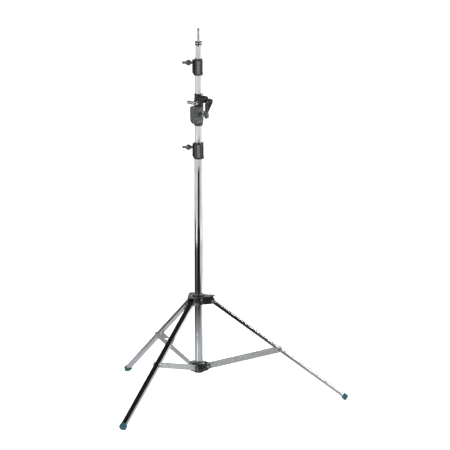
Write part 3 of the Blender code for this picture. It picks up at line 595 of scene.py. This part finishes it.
# ------------------------------------------------------------------ castings on the column
def riser_collar(node, barrel, pin, body):
    """A riser's clamp casting with bands, a split above the bush, a blank pale riveted plate on its front that
    is a painted highlight, and its pin.
    """
    low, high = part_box(node)
    low, high = low.z, high.z
    outside = [(barrel - 0.004, high - 0.0002), (barrel, high - 0.005), (barrel, low + 0.006),
               (barrel - 0.005, low + 0.0002)]
    inside = [(barrel - 0.007, low + 0.0002), (barrel - 0.007, high - 0.0002)]
    solids = [copy_of(node), turned("barrel", outside + inside, edge=0.0008, ring=True)]
    for height in (low + 0.0085, high - 0.0085):
        solids.append(hose("band", barrel - 0.003, barrel + 0.0009, height - 0.0017, height + 0.0017,
                           edge=0.0008))
    for side in (-1, 1):
        solids.append(rod("boss_rivet", 0.0042, 0.0125, 0.0142,
                          at(-0.0255, 0, low + 0.024) @ turn(90 * side, "X"), 0.0008))
        web = [(-0.0325, high - 0.010), (-0.0325, low + 0.034), (-0.012, low + 0.034),
               (-0.012, high - 0.010)]
        solids.append(plate("knob_web", [web], 0.0014, at(0, side * 0.0134) @ FACING_FRONT, 0.0003))
    made = cast(node + "_casting", solids, 0.00055, 4, 0.30)
    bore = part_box(node.replace("collar", "bush"))[1].x
    split = block("split", (0.010, -0.0014, low + 0.055), (0.05, 0.0014, high + 0.01), turn(-66, "Z"), 0)
    cut(made, split, rod("upper_bore", bore + 0.0004, low + 0.057, high + 0.01, steps=96, edge=0))
    place_of(made, node, "black_casting")

    # The pale plate and its two rivets sit on the collar's front where it shows a highlight: the plate's pale
    # steel is a painted highlight.
    plate_low, plate_high = low + 0.0120, high - 0.0125
    face = turn(6, "Z") @ at(-0.0022, -(barrel + 0.0009)) @ FACING_FRONT
    face = face @ at(0, (plate_low + plate_high) / 2)
    painted_highlight_badge = plate(node + "_plate", [rounded(0.0140, plate_high - plate_low, 0.0020)], 0.0022, face, 0.0004)
    detail(painted_highlight_badge, body, "painted_highlight_steel", "bolt_steel")
    for sign, end in ((-1, "low"), (1, "high")):
        rivet = rod(f"{node}_rivet_{end}", 0.0013, 0.0008, 0.0018,
                    face @ at(0, sign * (plate_high - plate_low) * 0.42), 0.0005)
        detail(rivet, body, "bolt_steel", "bolt_steel")

    low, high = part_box(pin)
    centre = at((low.x + high.x) / 2, (low.y + high.y) / 2)
    profile = [(0, high.z), (0.0040, high.z), (0.0040, high.z - 0.010), (0.0034, high.z - 0.0112),
               (0.0034, high.z - 0.0130), (0.0040, high.z - 0.0142), (0.0040, low.z), (0, low.z)]
    place_of(turned(pin + "_fine", profile, centre, 64, 0.0012), pin, "bright_steel")


def lower_collar():
    """The casting that holds the braces, and its clamp screw's fluted head."""
    low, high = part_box("lower_collar")
    low, high, hub, bore = low.z, 0.212, 0.034, 0.0228
    solids = [copy_of("lower_collar"), hose("hub", bore, hub, low, high, edge=0.0015)]
    for azimuth in SIDES.values():
        sector = turn(azimuth, "Z")
        for sign in (-1, 1):
            ear = sector @ at(brace_pivot.x, sign * 0.0224, brace_pivot.z) @ turn(-90 * sign, "X")
            solids.append(rod("ear_boss", 0.0100, -0.0010, 0.0010, ear, 0.0005))
        web = [(hub - 0.002, 0.2070), (0.0455, 0.2070), (hub - 0.002, 0.180)]
        solids.append(plate("web", [web], 0.0035, turn(azimuth + 60, "Z") @ FACING_FRONT, 0.0006))
    made = cast("lower_collar_casting", solids, 0.0006, 4, 0.30)
    cut(made, rod("screw_hole", 0.0033, 0.025, 0.05, turn(-60, "Z") @ at(0, 0, 0.182) @ X_AXIS, 0))
    place_of(made, "lower_collar", "black_casting")
    screw = turn(-60, "Z") @ at(0, 0, 0.182) @ X_AXIS

    def flutes(angle, height, radius):
        return -0.0005 * max(0, math.cos(8 * angle)) if radius > 0.007 else 0

    profile = [(0, 0.0555), (0.0060, 0.0555), (0.0080, 0.0535), (0.0080, 0.0475), (0.0055, 0.0455),
               (0.0055, 0.0345), (0.003, 0.0345), (0.003, 0.0231), (0, 0.0231)]
    place_of(turned("lower_collar_knob", profile, screw, 96, 0.0006, wave=flutes), "lower_collar_screw",
             "black_plastic")


def leg_collar():
    """The sliding casting: hub, rimmed lobes over the leg ears, small socket screws and the stop screw."""
    low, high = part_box("leg_collar")
    low, high, hub, bore = low.z, high.z, 0.033, 0.0243
    solids = [copy_of("leg_collar"), hose("hub", bore, hub, low, high, edge=0.0020)]
    for azimuth in SIDES.values():
        sector = turn(azimuth, "Z")
        for sign in (-1, 1):
            ear = sector @ at(leg_pivot.x, sign * 0.0194, leg_pivot.z) @ turn(-90 * sign, "X")
            solids.append(rod("ear_boss", 0.0098, -0.0010, 0.0010, ear, 0.0005))
        solids.append(hose("lobe_rim", 0.0180, 0.0204, 0.5818, 0.5838, sector @ at(0.068), 0.0006, 64))
    made = cast("leg_collar_casting", solids, 0.0007, 4, 0.30)
    sockets = []
    for azimuth in SIDES.values():
        sockets.append(block("lobe_room", (0.040, -0.0155, 0.560), (0.105, 0.0155, 0.5785),
                             turn(azimuth, "Z"), 0))
    cut(made, *sockets)
    place_of(made, "leg_collar", "black_casting")
    for side, azimuth in SIDES.items():
        for sign in (-1, 1):
            hand = "left" if sign < 0 else "right"
            place = turn(azimuth, "Z") @ at(0.0600, sign * 0.0170, 0.5826) @ turn(180, "X")
            detail(socket_screw(f"lobe_screw_{side}_{hand}", 0.0020, 0.0030, 0.0040, 0.0030, place),
                   "leg_collar", "bolt_steel", "bolt_steel")
    place = turn(-68, "Z") @ at(hub + 0.0003, 0, 0.564) @ turn(180, "Z") @ X_AXIS
    place_of(socket_screw("leg_collar_stop_screw", 0.003, 0.0083, 0.0055, 0.004, place), "leg_collar_screw",
             "bright_steel")
    paint(NODES["leg_collar_bush"], "nylon")


# ------------------------------------------------------------------ legs, feet and braces
def leg(side, azimuth):
    """A rectangular tube with its bolt holes, the crush sleeve in it, its pivot bolt and its foot."""
    frame_ = turn(azimuth, "Z") @ at(leg_pivot.x, 0, leg_pivot.z) @ turn(math.degrees(LEG_ANGLE), "Y")
    start = -0.012
    section = [rounded(LEG_HEIGHT, LEG_WIDTH, 0.004, 8),
               rounded(LEG_HEIGHT - 2 * LEG_WALL, LEG_WIDTH - 2 * LEG_WALL, 0.0022)]
    tube = plate(f"leg_{side}_raw", section, LEG_END - start, frame_ @ at((LEG_END + start) / 2) @ X_AXIS, 0)
    tube = one_body(f"leg_{side}_tube", [tube], frame_)
    for x, radius in ((0, 0.0043), (BRACE_ON_LEG, 0.0053)):
        cut(tube, rod("hole", radius, -0.03, 0.03, frame_ @ at(x) @ Y_AXIS, 0))
    place_of(tube, f"leg_{side}", "leg_chrome")
    sleeve = hose(f"leg_sleeve_{side}_fine", 0.0035, 0.005, -0.0149, 0.0149,
                  frame_ @ at(BRACE_ON_LEG) @ Y_AXIS, 0.0003, 48)
    place_of(sleeve, f"leg_sleeve_{side}", "bolt_steel")
    length = 2 * (LEG_WIDTH / 2 + 0.0044 + 0.0003)
    line = turn(azimuth, "Z") @ at(leg_pivot.x, -length / 2, leg_pivot.z) @ Y_AXIS
    place_of(bolt(f"leg_bolt_{side}", 0.004, length, 0.0075, 0.0045, line, 0.0045), f"leg_pivot_bolt_{side}",
             "bolt_steel")
    foot(side, frame_)


def foot(side, frame_):
    """A moulded cap: three ribs round its mouth and a flat sole."""
    start, end = LEG_END - 0.008, LEG_END + 0.019
    outline = [(x + 0.001, y) for x, y in rounded(0.028, 0.035, 0.006, 8)]
    cap = plate("cap", [outline], end - start, frame_ @ at((start + end) / 2) @ X_AXIS, 0.0022, 4)
    ribs = []
    for step in range(3):
        rib = [(x + 0.001, y) for x, y in rounded(0.0288, 0.0358, 0.0064, 8)]
        ribs.append(plate("rib", [rib], 0.0018, frame_ @ at(start + 0.0022 + 0.0042 * step) @ X_AXIS,
                          0.0006))
    made = cast(f"foot_{side}_cap", [cap, *ribs], 0.00055, 2, 0.35, frame_)
    socket = plate("socket", [rounded(LEG_HEIGHT + 0.0006, LEG_WIDTH + 0.0006, 0.0043, 8)], 0.04,
                   frame_ @ at(LEG_END + 0.0003 - 0.020) @ X_AXIS, 0)
    spin = frame_ @ turn(-math.degrees(LEG_ANGLE), "Y") @ at(-leg_pivot.x, 0, -leg_pivot.z)
    floor_cut = block("below", (0.7, -0.04, -0.06), (0.9, 0.04, 0.0), spin, 0)
    cut(made, socket, floor_cut)
    place_of(made, f"foot_{side}", "foot_plastic")


def brace(side, azimuth):
    """A pressed channel, open below, with a bead along its back and a round fork at each end."""
    frame_ = turn(azimuth, "Z") @ at(brace_pivot.x, 0, brace_pivot.z) @ turn(-math.degrees(BRACE_ANGLE), "Y")
    end_r, half, bend = BRACE_HEIGHT / 2, BRACE_WIDTH / 2, 0.0035
    web_start, web_end = 0.016, BRACE_LENGTH - 0.091
    outer = [(-half, -end_r)] + arc(-half + bend, end_r - bend, bend, 180, 90, 6)
    outer += arc(half - bend, end_r - bend, bend, 90, 0, 6) + [(half, -end_r)]
    inner_half, inner_bend = half - BRACE_WALL, bend - BRACE_WALL
    inner = [(inner_half, -end_r)] + arc(inner_half - inner_bend, end_r - bend, inner_bend, 0, 90, 4)
    inner += arc(-inner_half + inner_bend, end_r - bend, inner_bend, 90, 180, 4) + [(-inner_half, -end_r)]
    total = BRACE_LENGTH + 2 * end_r + 0.004
    channel = plate("channel", [outer + inner], total, frame_ @ at(BRACE_LENGTH / 2) @ SIDEWAYS, 0)
    made = one_body(f"brace_{side}_channel", [channel], frame_)
    stadium = arc(0, 0, end_r - 0.00005, 90, 270, 24) + arc(BRACE_LENGTH, 0, end_r - 0.00005, -90, 90, 24)
    keep = plate("stadium", [stadium], BRACE_WIDTH + 0.01, frame_ @ FACING_FRONT, 0)
    step = made.modifiers.new("round_ends", "BOOLEAN")
    step.operation, step.object, step.solver = "INTERSECT", keep, "MANIFOLD"
    apply_all(made)
    bpy.data.objects.remove(keep)
    inside = half - BRACE_WALL + 0.00002
    cut(made, block("fork_in", (-0.03, -inside, -0.02), (web_start, inside, 0.03), frame_, 0),
        block("fork_out", (web_end, -inside, -0.02), (BRACE_LENGTH + 0.03, inside, 0.03), frame_, 0))
    for x, radius in ((0, 0.0043), (BRACE_LENGTH, 0.0033)):
        cut(made, rod("hole", radius, -0.03, 0.03, frame_ @ at(x) @ Y_AXIS, 0))
    bead = rounded(web_end - web_start - 0.030, 0.011, 0.0054, 8)
    back = frame_ @ at((web_start + web_end) / 2, 0, end_r - 0.0008)
    combine(made, plate("bead", [bead], 0.0034, back, 0.0013, 4), "UNION")
    place_of(made, f"brace_{side}", "zinc_plate")

    line = frame_ @ at(BRACE_LENGTH, -half - 0.0003) @ Y_AXIS
    place_of(bolt(f"brace_joint_bolt_{side}", 0.003, 0.0018, 0.0075, 0.0042, line), f"brace_bolt_{side}",
             "bolt_steel")
    far = bolt(f"brace_joint_nut_{side}", 0.0028, 0.0018, 0.0075, 0.0042,
               frame_ @ at(BRACE_LENGTH, half + 0.0003) @ turn(90, "X"))
    detail(far, f"brace_{side}", "bolt_steel", "bolt_steel")
    length = 2 * (half + 0.0044 + 0.0003)
    line = turn(azimuth, "Z") @ at(brace_pivot.x, -length / 2, brace_pivot.z) @ Y_AXIS
    place_of(bolt(f"brace_foot_bolt_{side}", 0.004, length, 0.0072, 0.004, line, 0.004),
             f"brace_pivot_bolt_{side}", "bolt_steel")


# ------------------------------------------------------------------ crank unit
def tongue(inset, top=1.632):
    """The front outline of the gear housing, in the unit's x and z: straight sides, a half-round bottom."""
    half, centre, bottom = 0.026 - inset, 0.007, 1.5620
    corner = max(0.008 - inset / 2, 0.001)
    points = arc(centre, bottom, half, 180, 360, 40)
    points += arc(centre + half - corner, top - inset - corner, corner, 0, 90, 8)
    return points + arc(centre - half + corner, top - inset - corner, corner, 90, 180, 8)


def gear_housing():
    """The casting clamped on riser 1: sleeve, gear box, shaft boss, bands and ribs."""
    shaft_line = unit @ at(0, shaft.y, shaft.z) @ X_AXIS
    sleeve = [(0.0222, 1.6615), (0.0235, 1.6615), (0.025, 1.6595), (0.025, 1.528), (0.0222, 1.5208)]
    solids = [
        copy_of("gear_housing"),
        turned("sleeve", sleeve, unit, edge=0.0010, ring=True),
        plate("box_side", [tongue(0), tongue(0.0045)], 0.0385, unit @ at(0, -0.0275) @ FACING_FRONT, 0.0006),
        hose("shaft_boss_ring", 0.0088, 0.0134, 0.0425, 0.0462, shaft_line, 0.0008),
        hose("shaft_boss_foot", 0.0088, 0.0150, 0.0320, 0.0350, shaft_line, 0.0010),
    ]
    for height in (1.5335, 1.6525):
        solids.append(hose("band", 0.0230, 0.0261, height - 0.002, height + 0.002, unit, 0.0009))
    for spin in (35, 90, 145):
        rib = [(0.0235, 1.536), (0.0278, 1.545), (0.0278, 1.640), (0.0235, 1.650)]
        solids.append(plate("rib", [rib], 0.0036, unit @ turn(spin, "Z") @ FACING_FRONT, 0.0009))
    made = cast("gear_housing_casting", solids, 0.0006, 4, 0.30)
    place_of(made, "gear_housing", "grey_casting")


def box_in_unit(node):
    """The box of a node's corners in the crank unit's own frame."""
    points = [unit.inverted() @ vertex.co for vertex in NODES[node].data.vertices]
    return (Vector([min(p[i] for p in points) for i in range(3)]),
            Vector([max(p[i] for p in points) for i in range(3)]))


def gear_cover():
    """The front cover: raised rim, inner bead, three ribs, and its screws on round lands."""
    back = box_in_unit("gear_cover")[1].y
    solids = [
        plate("cover_base", [tongue(0.0003)], 0.0030, unit @ at(0, back - 0.0015) @ FACING_FRONT, 0.0005),
        plate("cover_rim", [tongue(0.0003), tongue(0.0040)], 0.0034,
              unit @ at(0, back - 0.0038) @ FACING_FRONT, 0.0012, 4),
        plate("cover_panel", [tongue(0.0100), tongue(0.0120)], 0.0016,
              unit @ at(0, back - 0.0034) @ FACING_FRONT, 0.0005),
    ]
    for height in (1.5765, 1.5890, 1.6015):
        solids.append(plate("cover_rib", [rounded(0.018, 0.0034, 0.0016)], 0.0018,
                            unit @ at(0.007, back - 0.0034, height) @ FACING_FRONT, 0.0006))
    holes = [(-0.0112, 1.5665), (0.0252, 1.5665), (0.007, 1.6243)]
    for x, z in holes:
        solids.append(rod("screw_land", 0.0050, 0.0, 0.0036, unit @ at(x, back - 0.0001, z) @ turn(90, "X"),
                          0.0006))
    made = cast("gear_cover_plate", solids, 0.00042, 3, 0.30)
    for x, z in holes:
        cut(made, rod("screw_hole", 0.0030, 0.0034, 0.008, unit @ at(x, back, z) @ turn(90, "X"), 0))
    place_of(made, "gear_cover", "grey_casting")
    for name, (x, z) in zip(("left", "right", "top"), holes):
        place = unit @ at(x, back - 0.0037, z) @ Y_AXIS
        place_of(socket_screw(f"cover_bolt_{name}", 0.0015, 0.0085, 0.0034, 0.0022, place),
                 f"cover_screw_{name}", "bright_steel")


def crank():
    """Spindle, hub block, the arm that leans outward, and the fluted drum grip on its axle."""
    axis = unit @ at(0, shaft.y, shaft.z) @ turn(CRANK_LEAN, "X")
    profile = [(0, 0.077), (0.005, 0.077), (0.005, 0.0605), (0.0044, 0.0600), (0.0044, 0.0588),
               (0.005, 0.0583), (0.005, -0.0165), (0, -0.0165)]
    place_of(turned("crank_spindle", profile, axis @ X_AXIS, 64, 0.0004), "crank_shaft", "bright_steel")
    hub = block("hub", (0.062, -0.012, -0.014), (0.080, 0.012, 0.030), axis, 0.0038, 5)
    boss = hose("hub_boss", 0.0055, 0.0100, 0.0605, 0.0625, axis @ X_AXIS, 0.0006)
    hub = cast("crank_hub_casting", [hub, boss], 0.00045, 3, 0.3)
    cut(hub, rod("hub_hole", 0.0053, 0.056, 0.0773, axis @ X_AXIS, 0),
        rod("set_screw_hole", 0.0022, -0.02, -0.0085,
            axis @ at(0.071, 0, 0) @ turn(90, "X") @ turn(180, "X"), 0))
    place_of(hub, "crank_hub", "grey_casting")

    slope = math.degrees(math.atan2(0.028, 0.068))  # the arm runs outward this much
    side = arc(0, CRANK_LENGTH - 0.014, 0.0285, -12, 192, 48) + arc(0, 0.036, 0.0115, 200, 340, 20)
    plane = axis @ at(0.0665, 0, 0) @ turn(slope, "Y") @ SIDEWAYS
    arm = plate("crank_arm_moulding", [side], 0.016, plane, 0.0038, 5)
    recess = arc(0, CRANK_LENGTH - 0.014, 0.0215, -8, 188, 40) + arc(0, 0.040, 0.0060, 205, 335, 16)
    island = circle(0, CRANK_LENGTH + 0.006, 0.0125)
    made = one_body("crank_arm_moulding", [arm], plane)
    for side_ in (-1, 1):
        cut(made, plate("recess", [recess, island], 0.0036, plane @ at(0, 0, side_ * 0.0080), 0.0006))
    cut(made, block("arm_foot_room", (0.050, -0.02, -0.03), (0.0825, 0.02, 0.0303), axis, 0),
        rod("bolt_room", 0.0043, 0.05, 0.1025, axis @ at(0, 0, CRANK_LENGTH) @ X_AXIS, 0))
    place_of(made, "crank_arm", "black_plastic")

    line = axis @ at(0, 0, CRANK_LENGTH) @ X_AXIS
    place_of(bolt("grip_axle", 0.004, 0.0460, 0.0075, 0.004, line @ at(0, 0, 0.0560)), "grip_bolt",
             "bolt_steel")

    def flutes(angle, height, radius):
        """Twelve finger flutes that fade out at both ends of the drum."""
        if radius < 0.0175:
            return 0
        share = max(0.0, 1 - ((height - 0.067) / 0.0145) ** 4)
        return -0.0011 * share * max(0.0, math.cos(12 * angle)) ** 0.8

    heights = [0.0810 - 0.0280 * step / 14 for step in range(15)]
    profile = [(0.014, 0.0870), (0.018, 0.0850)] + [(0.020, z) for z in heights]
    profile += [(0.018, 0.0485), (0.014, 0.0465), (0.0105, 0.0465), (0.0095, 0.0480), (0.0095, 0.0563),
                (0.0043, 0.0563), (0.0043, 0.0870)]
    place_of(turned("crank_drum_grip", profile, line, 144, 0.0006, True, flutes), "crank_grip",
             "black_plastic")


def lock():
    """The lock lever with two ridges along its blade, and the dark cap in its ring."""
    axis = unit @ at(lock_axis.x, 0, lock_axis.z) @ turn(180, "Z") @ Y_AXIS
    profile = [(0, 0.0465), (0.0095, 0.0465), (0.0115, 0.0445), (0.0115, 0.0345), (0.0040, 0.0345),
               (0.0040, 0.0165), (0, 0.0165)]
    outline = [(0.006, -0.0088), (0.026, -0.0105), (0.050, -0.0120)] + arc(0.0525, -0.0027, 0.0092, -80, 80)
    outline += [(0.050, 0.0065), (0.028, 0.0075), (0.006, 0.0095)]
    solids = [turned("ring", profile, axis, 96, 0.0008),
              plate("blade", [outline], 0.0062, axis @ at(0, 0, 0.0400), 0.0016, 4)]
    for low, high in (((0.012, -0.0062), (0.053, -0.0080)), ((0.012, 0.0052), (0.053, 0.0024))):
        start, end = Vector((*low, 0.0428)), Vector((*high, 0.0428))
        line = axis @ Matrix.Translation(start) @ (end - start).to_track_quat("Z", "Y").to_matrix().to_4x4()
        solids.append(rod("ridge", 0.0030, 0, (end - start).length, line, 0.0028, 32))
    made = cast("lock_handle", solids, 0.00038, 4, 0.28)
    cut(made, rod("cap_room", 0.0063, 0.0443, 0.06, axis, 0))
    place_of(made, "lock_lever", "bright_steel")
    profile = [(0, 0.0475), (0.0025, 0.0475), (0.0028, 0.0481), (0.0060, 0.0481), (0.0060, 0.0446),
               (0, 0.0446)]
    cap = turned("lock_handle_cap", profile, axis, 64, 0.0004)
    place_of(cap, "lock_cap", "black_plastic")


def guides():
    """The black sleeve that riser 2 runs in, the release pin, and the finishes of the hidden pieces."""
    inner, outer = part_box("riser_2")[1].x + 0.0004, 0.0225
    profile = [(outer - 0.0015, 1.696), (outer, 1.6945), (outer, 1.6875), (outer - 0.0009, 1.6868),
               (outer - 0.0009, 1.6750), (outer, 1.6743), (outer, 1.6623), (inner, 1.6623), (inner, 1.696)]
    place_of(turned("guide_sleeve_moulding", profile, unit, 96, 0.0006, True), "guide_sleeve",
             "black_plastic")

    def knurl(angle, height, radius):
        return 0.00018 * math.cos(24 * angle) if 1.668 < height < 1.696 and radius > 0.004 else 0

    profile = [(0, 1.701), (0.0044, 1.701), (0.0052, 1.7000), (0.0052, 1.6640), (0.0030, 1.6640),
               (0.0030, 1.645), (0, 1.645)]
    place_of(turned("release_pin_fine", profile, unit @ at(*RELEASE_PIN), 96, 0.0004, wave=knurl),
             "release_pin",
             "bright_steel")
    for node, look in (("shaft_bush", "nylon"), ("mid_bush", "nylon"), ("top_bush", "nylon"),
                       ("pinion", "bolt_steel")):
        paint(NODES[node], look)


# ------------------------------------------------------------------ studio
# What polished metal mirrors in the floor, ring by ring outward: (azimuth from the front, brightness).
MIRRORED = {
    "near": ((-180, 0.60), (-150, 0.40), (-120, 0.10), (-88, 0.03), (-54, 0.08), (-24, 0.04), (4, 0.02),
             (32, 0.02), (50, 0.12), (75, 0.40), (100, 0.90), (125, 1.20), (150, 0.90), (180, 0.60)),
    "mid": ((-180, 0.16), (-150, 0.08), (-118, 0.02), (-88, 0.05), (-54, 0.17), (-24, 0.05), (-10, 0.0),
            (22, 0.0), (36, 0.03), (50, 0.60), (75, 0.85), (108, 0.80), (130, 0.20), (180, 0.16)),
    "outer": ((-180, 0.08), (-136, 0.0), (-90, 0.0), (-70, 0.80), (-64, 1.25), (-42, 1.25), (-34, 0.25),
              (-12, 0.10), (-8, 0.0), (22, 0.0), (42, 0.05), (52, 1.10), (80, 1.20), (118, 0.90),
              (140, 0.10), (180, 0.08)),
    "far": ((-180, 0.20), (-140, 0.25), (-110, 0.60), (-90, 0.80), (-50, 0.85), (-24, 0.70), (-12, 0.0),
            (20, 0.0), (32, 0.45), (60, 0.75), (100, 1.05), (150, 0.95), (180, 0.20)),
}


def mirrored_floor():
    """A disc on the floor that only reflections see: light close by, then the rings of MIRRORED outward."""
    shape = bmesh.new()
    bmesh.ops.create_grid(shape, x_segments=1, y_segments=1, size=60)
    disc = made_of("mirrored_floor", shape, at(0, 0, 0.001))
    look = bpy.data.materials.new("mirrored_floor")
    look.use_nodes = True
    nodes, links = look.node_tree.nodes, look.node_tree.links
    nodes.clear()
    place = nodes.new("ShaderNodeTexCoord").outputs["Object"]
    spun = nodes.new("ShaderNodeMapping")
    spun.inputs["Rotation"].default_value = (0, 0, math.pi / 2)
    links.new(place, spun.inputs["Vector"])
    around = nodes.new("ShaderNodeTexGradient")
    around.gradient_type = "RADIAL"
    links.new(spun.outputs["Vector"], around.inputs["Vector"])
    far_away = nodes.new("ShaderNodeVectorMath")
    far_away.operation = "LENGTH"
    links.new(place, far_away.inputs[0])

    def ring(name):
        ramp = nodes.new("ShaderNodeValToRGB")
        stops = ramp.color_ramp.elements
        for azimuth, value in MIRRORED[name][1:-1]:
            stops.new((azimuth + 180) / 360).color = (value, value, value * 1.02, 1)
        for stop, (azimuth, value) in ((stops[0], MIRRORED[name][0]), (stops[-1], MIRRORED[name][-1])):
            stop.color = (value, value, value * 1.02, 1)
        links.new(around.outputs["Fac"], ramp.inputs["Fac"])
        return ramp.outputs["Color"]

    def blend(first, second, start, end):
        share = nodes.new("ShaderNodeMapRange")
        share.interpolation_type = "SMOOTHSTEP"
        share.inputs["From Min"].default_value, share.inputs["From Max"].default_value = start, end
        links.new(far_away.outputs["Value"], share.inputs["Value"])
        mix = nodes.new("ShaderNodeMix")
        mix.data_type = "RGBA"
        links.new(share.outputs["Result"], mix.inputs[0])
        links.new(first, mix.inputs[6])
        links.new(second, mix.inputs[7])
        return mix.outputs[2]

    close = nodes.new("ShaderNodeRGB")
    close.outputs[0].default_value = (0.56, 0.58, 0.60, 1)
    colour = blend(close.outputs[0], ring("near"), 0.6, 1.9)
    colour = blend(colour, ring("mid"), 2.4, 3.4)
    colour = blend(colour, ring("outer"), 4.5, 5.5)
    colour = blend(colour, ring("far"), 6.4, 7.4)
    glow, end = nodes.new("ShaderNodeEmission"), nodes.new("ShaderNodeOutputMaterial")
    links.new(colour, glow.inputs["Color"])
    links.new(glow.outputs["Emission"], end.inputs["Surface"])
    disc.data.materials.append(look)
    disc.visible_camera = disc.visible_diffuse = disc.visible_shadow = disc.visible_transmission = False


def dark_ceiling(tree, background):
    """White walls all round; reflections find the ceiling dark."""
    nodes, links = tree.nodes, tree.links
    split = nodes.new("ShaderNodeSeparateXYZ")
    links.new(nodes.new("ShaderNodeTexCoord").outputs["Generated"], split.inputs["Vector"])
    height = nodes.new("ShaderNodeMapRange")
    for name, value in (("From Min", 0.05), ("From Max", 0.45), ("To Min", 0.0), ("To Max", 1.0)):
        height.inputs[name].default_value = value
    links.new(split.outputs["Z"], height.inputs["Value"])
    seen = nodes.new("ShaderNodeMath")
    seen.operation = "MULTIPLY"
    links.new(height.outputs["Result"], seen.inputs[0])
    links.new(nodes.new("ShaderNodeLightPath").outputs["Is Glossy Ray"], seen.inputs[1])
    mix = nodes.new("ShaderNodeMix")
    mix.data_type = "RGBA"
    mix.inputs[6].default_value = (1, 1, 1, 1)
    mix.inputs[7].default_value = (0.02, 0.02, 0.02, 1)
    links.new(seen.outputs["Value"], mix.inputs[0])
    links.new(mix.outputs[2], background.inputs["Color"])


def studio():
    world = bpy.data.worlds.new("studio")
    bpy.context.scene.world = world
    world.use_nodes = True
    background = world.node_tree.nodes["Background"]
    background.inputs["Strength"].default_value = 0.75
    dark_ceiling(world.node_tree, background)

    shape = bmesh.new()
    bmesh.ops.create_grid(shape, x_segments=1, y_segments=1, size=60)
    floor = made_of("floor", shape, at(0, 0, -0.0004))
    paper = bpy.data.materials.new("paper")
    paper.use_nodes = True
    shader = paper.node_tree.nodes["Principled BSDF"]
    for socket, value in (("Base Color", (0.93, 0.93, 0.93, 1)), ("Roughness", 0.9),
                          ("Specular IOR Level", 0.0), ("Emission Color", (1, 1, 1, 1)),
                          ("Emission Strength", 0.42)):
        shader.inputs[socket].default_value = value
    floor.data.materials.append(paper)
    floor.visible_glossy = False
    mirrored_floor()

    for name, where, size, power in LIGHTS:
        light = bpy.data.lights.new(name, "AREA")
        light.shape, light.size, light.energy = "DISK", size, power
        lamp = bpy.data.objects.new(name, light)
        bpy.context.scene.collection.objects.link(lamp)
        lamp.location = where
        lamp.rotation_euler = (AIM - Vector(where)).to_track_quat("-Z", "Y").to_euler()


LIGHTS = (("key", (-5, -6, 7), 2.0, 420), ("fill", (6, -4, 5), 2.0, 220), ("back", (2, 7, 6), 2.0, 240))

column()
spigot()
knobs()
riser_collar("mid_collar", 0.0265, "mid_collar_pin", "column")
riser_collar("top_collar", 0.0215, "top_collar_pin", "riser_2")
lower_collar()
leg_collar()
for side, azimuth in SIDES.items():
    leg(side, azimuth)
    brace(side, azimuth)
gear_housing()
gear_cover()
crank()
lock()
guides()
studio()
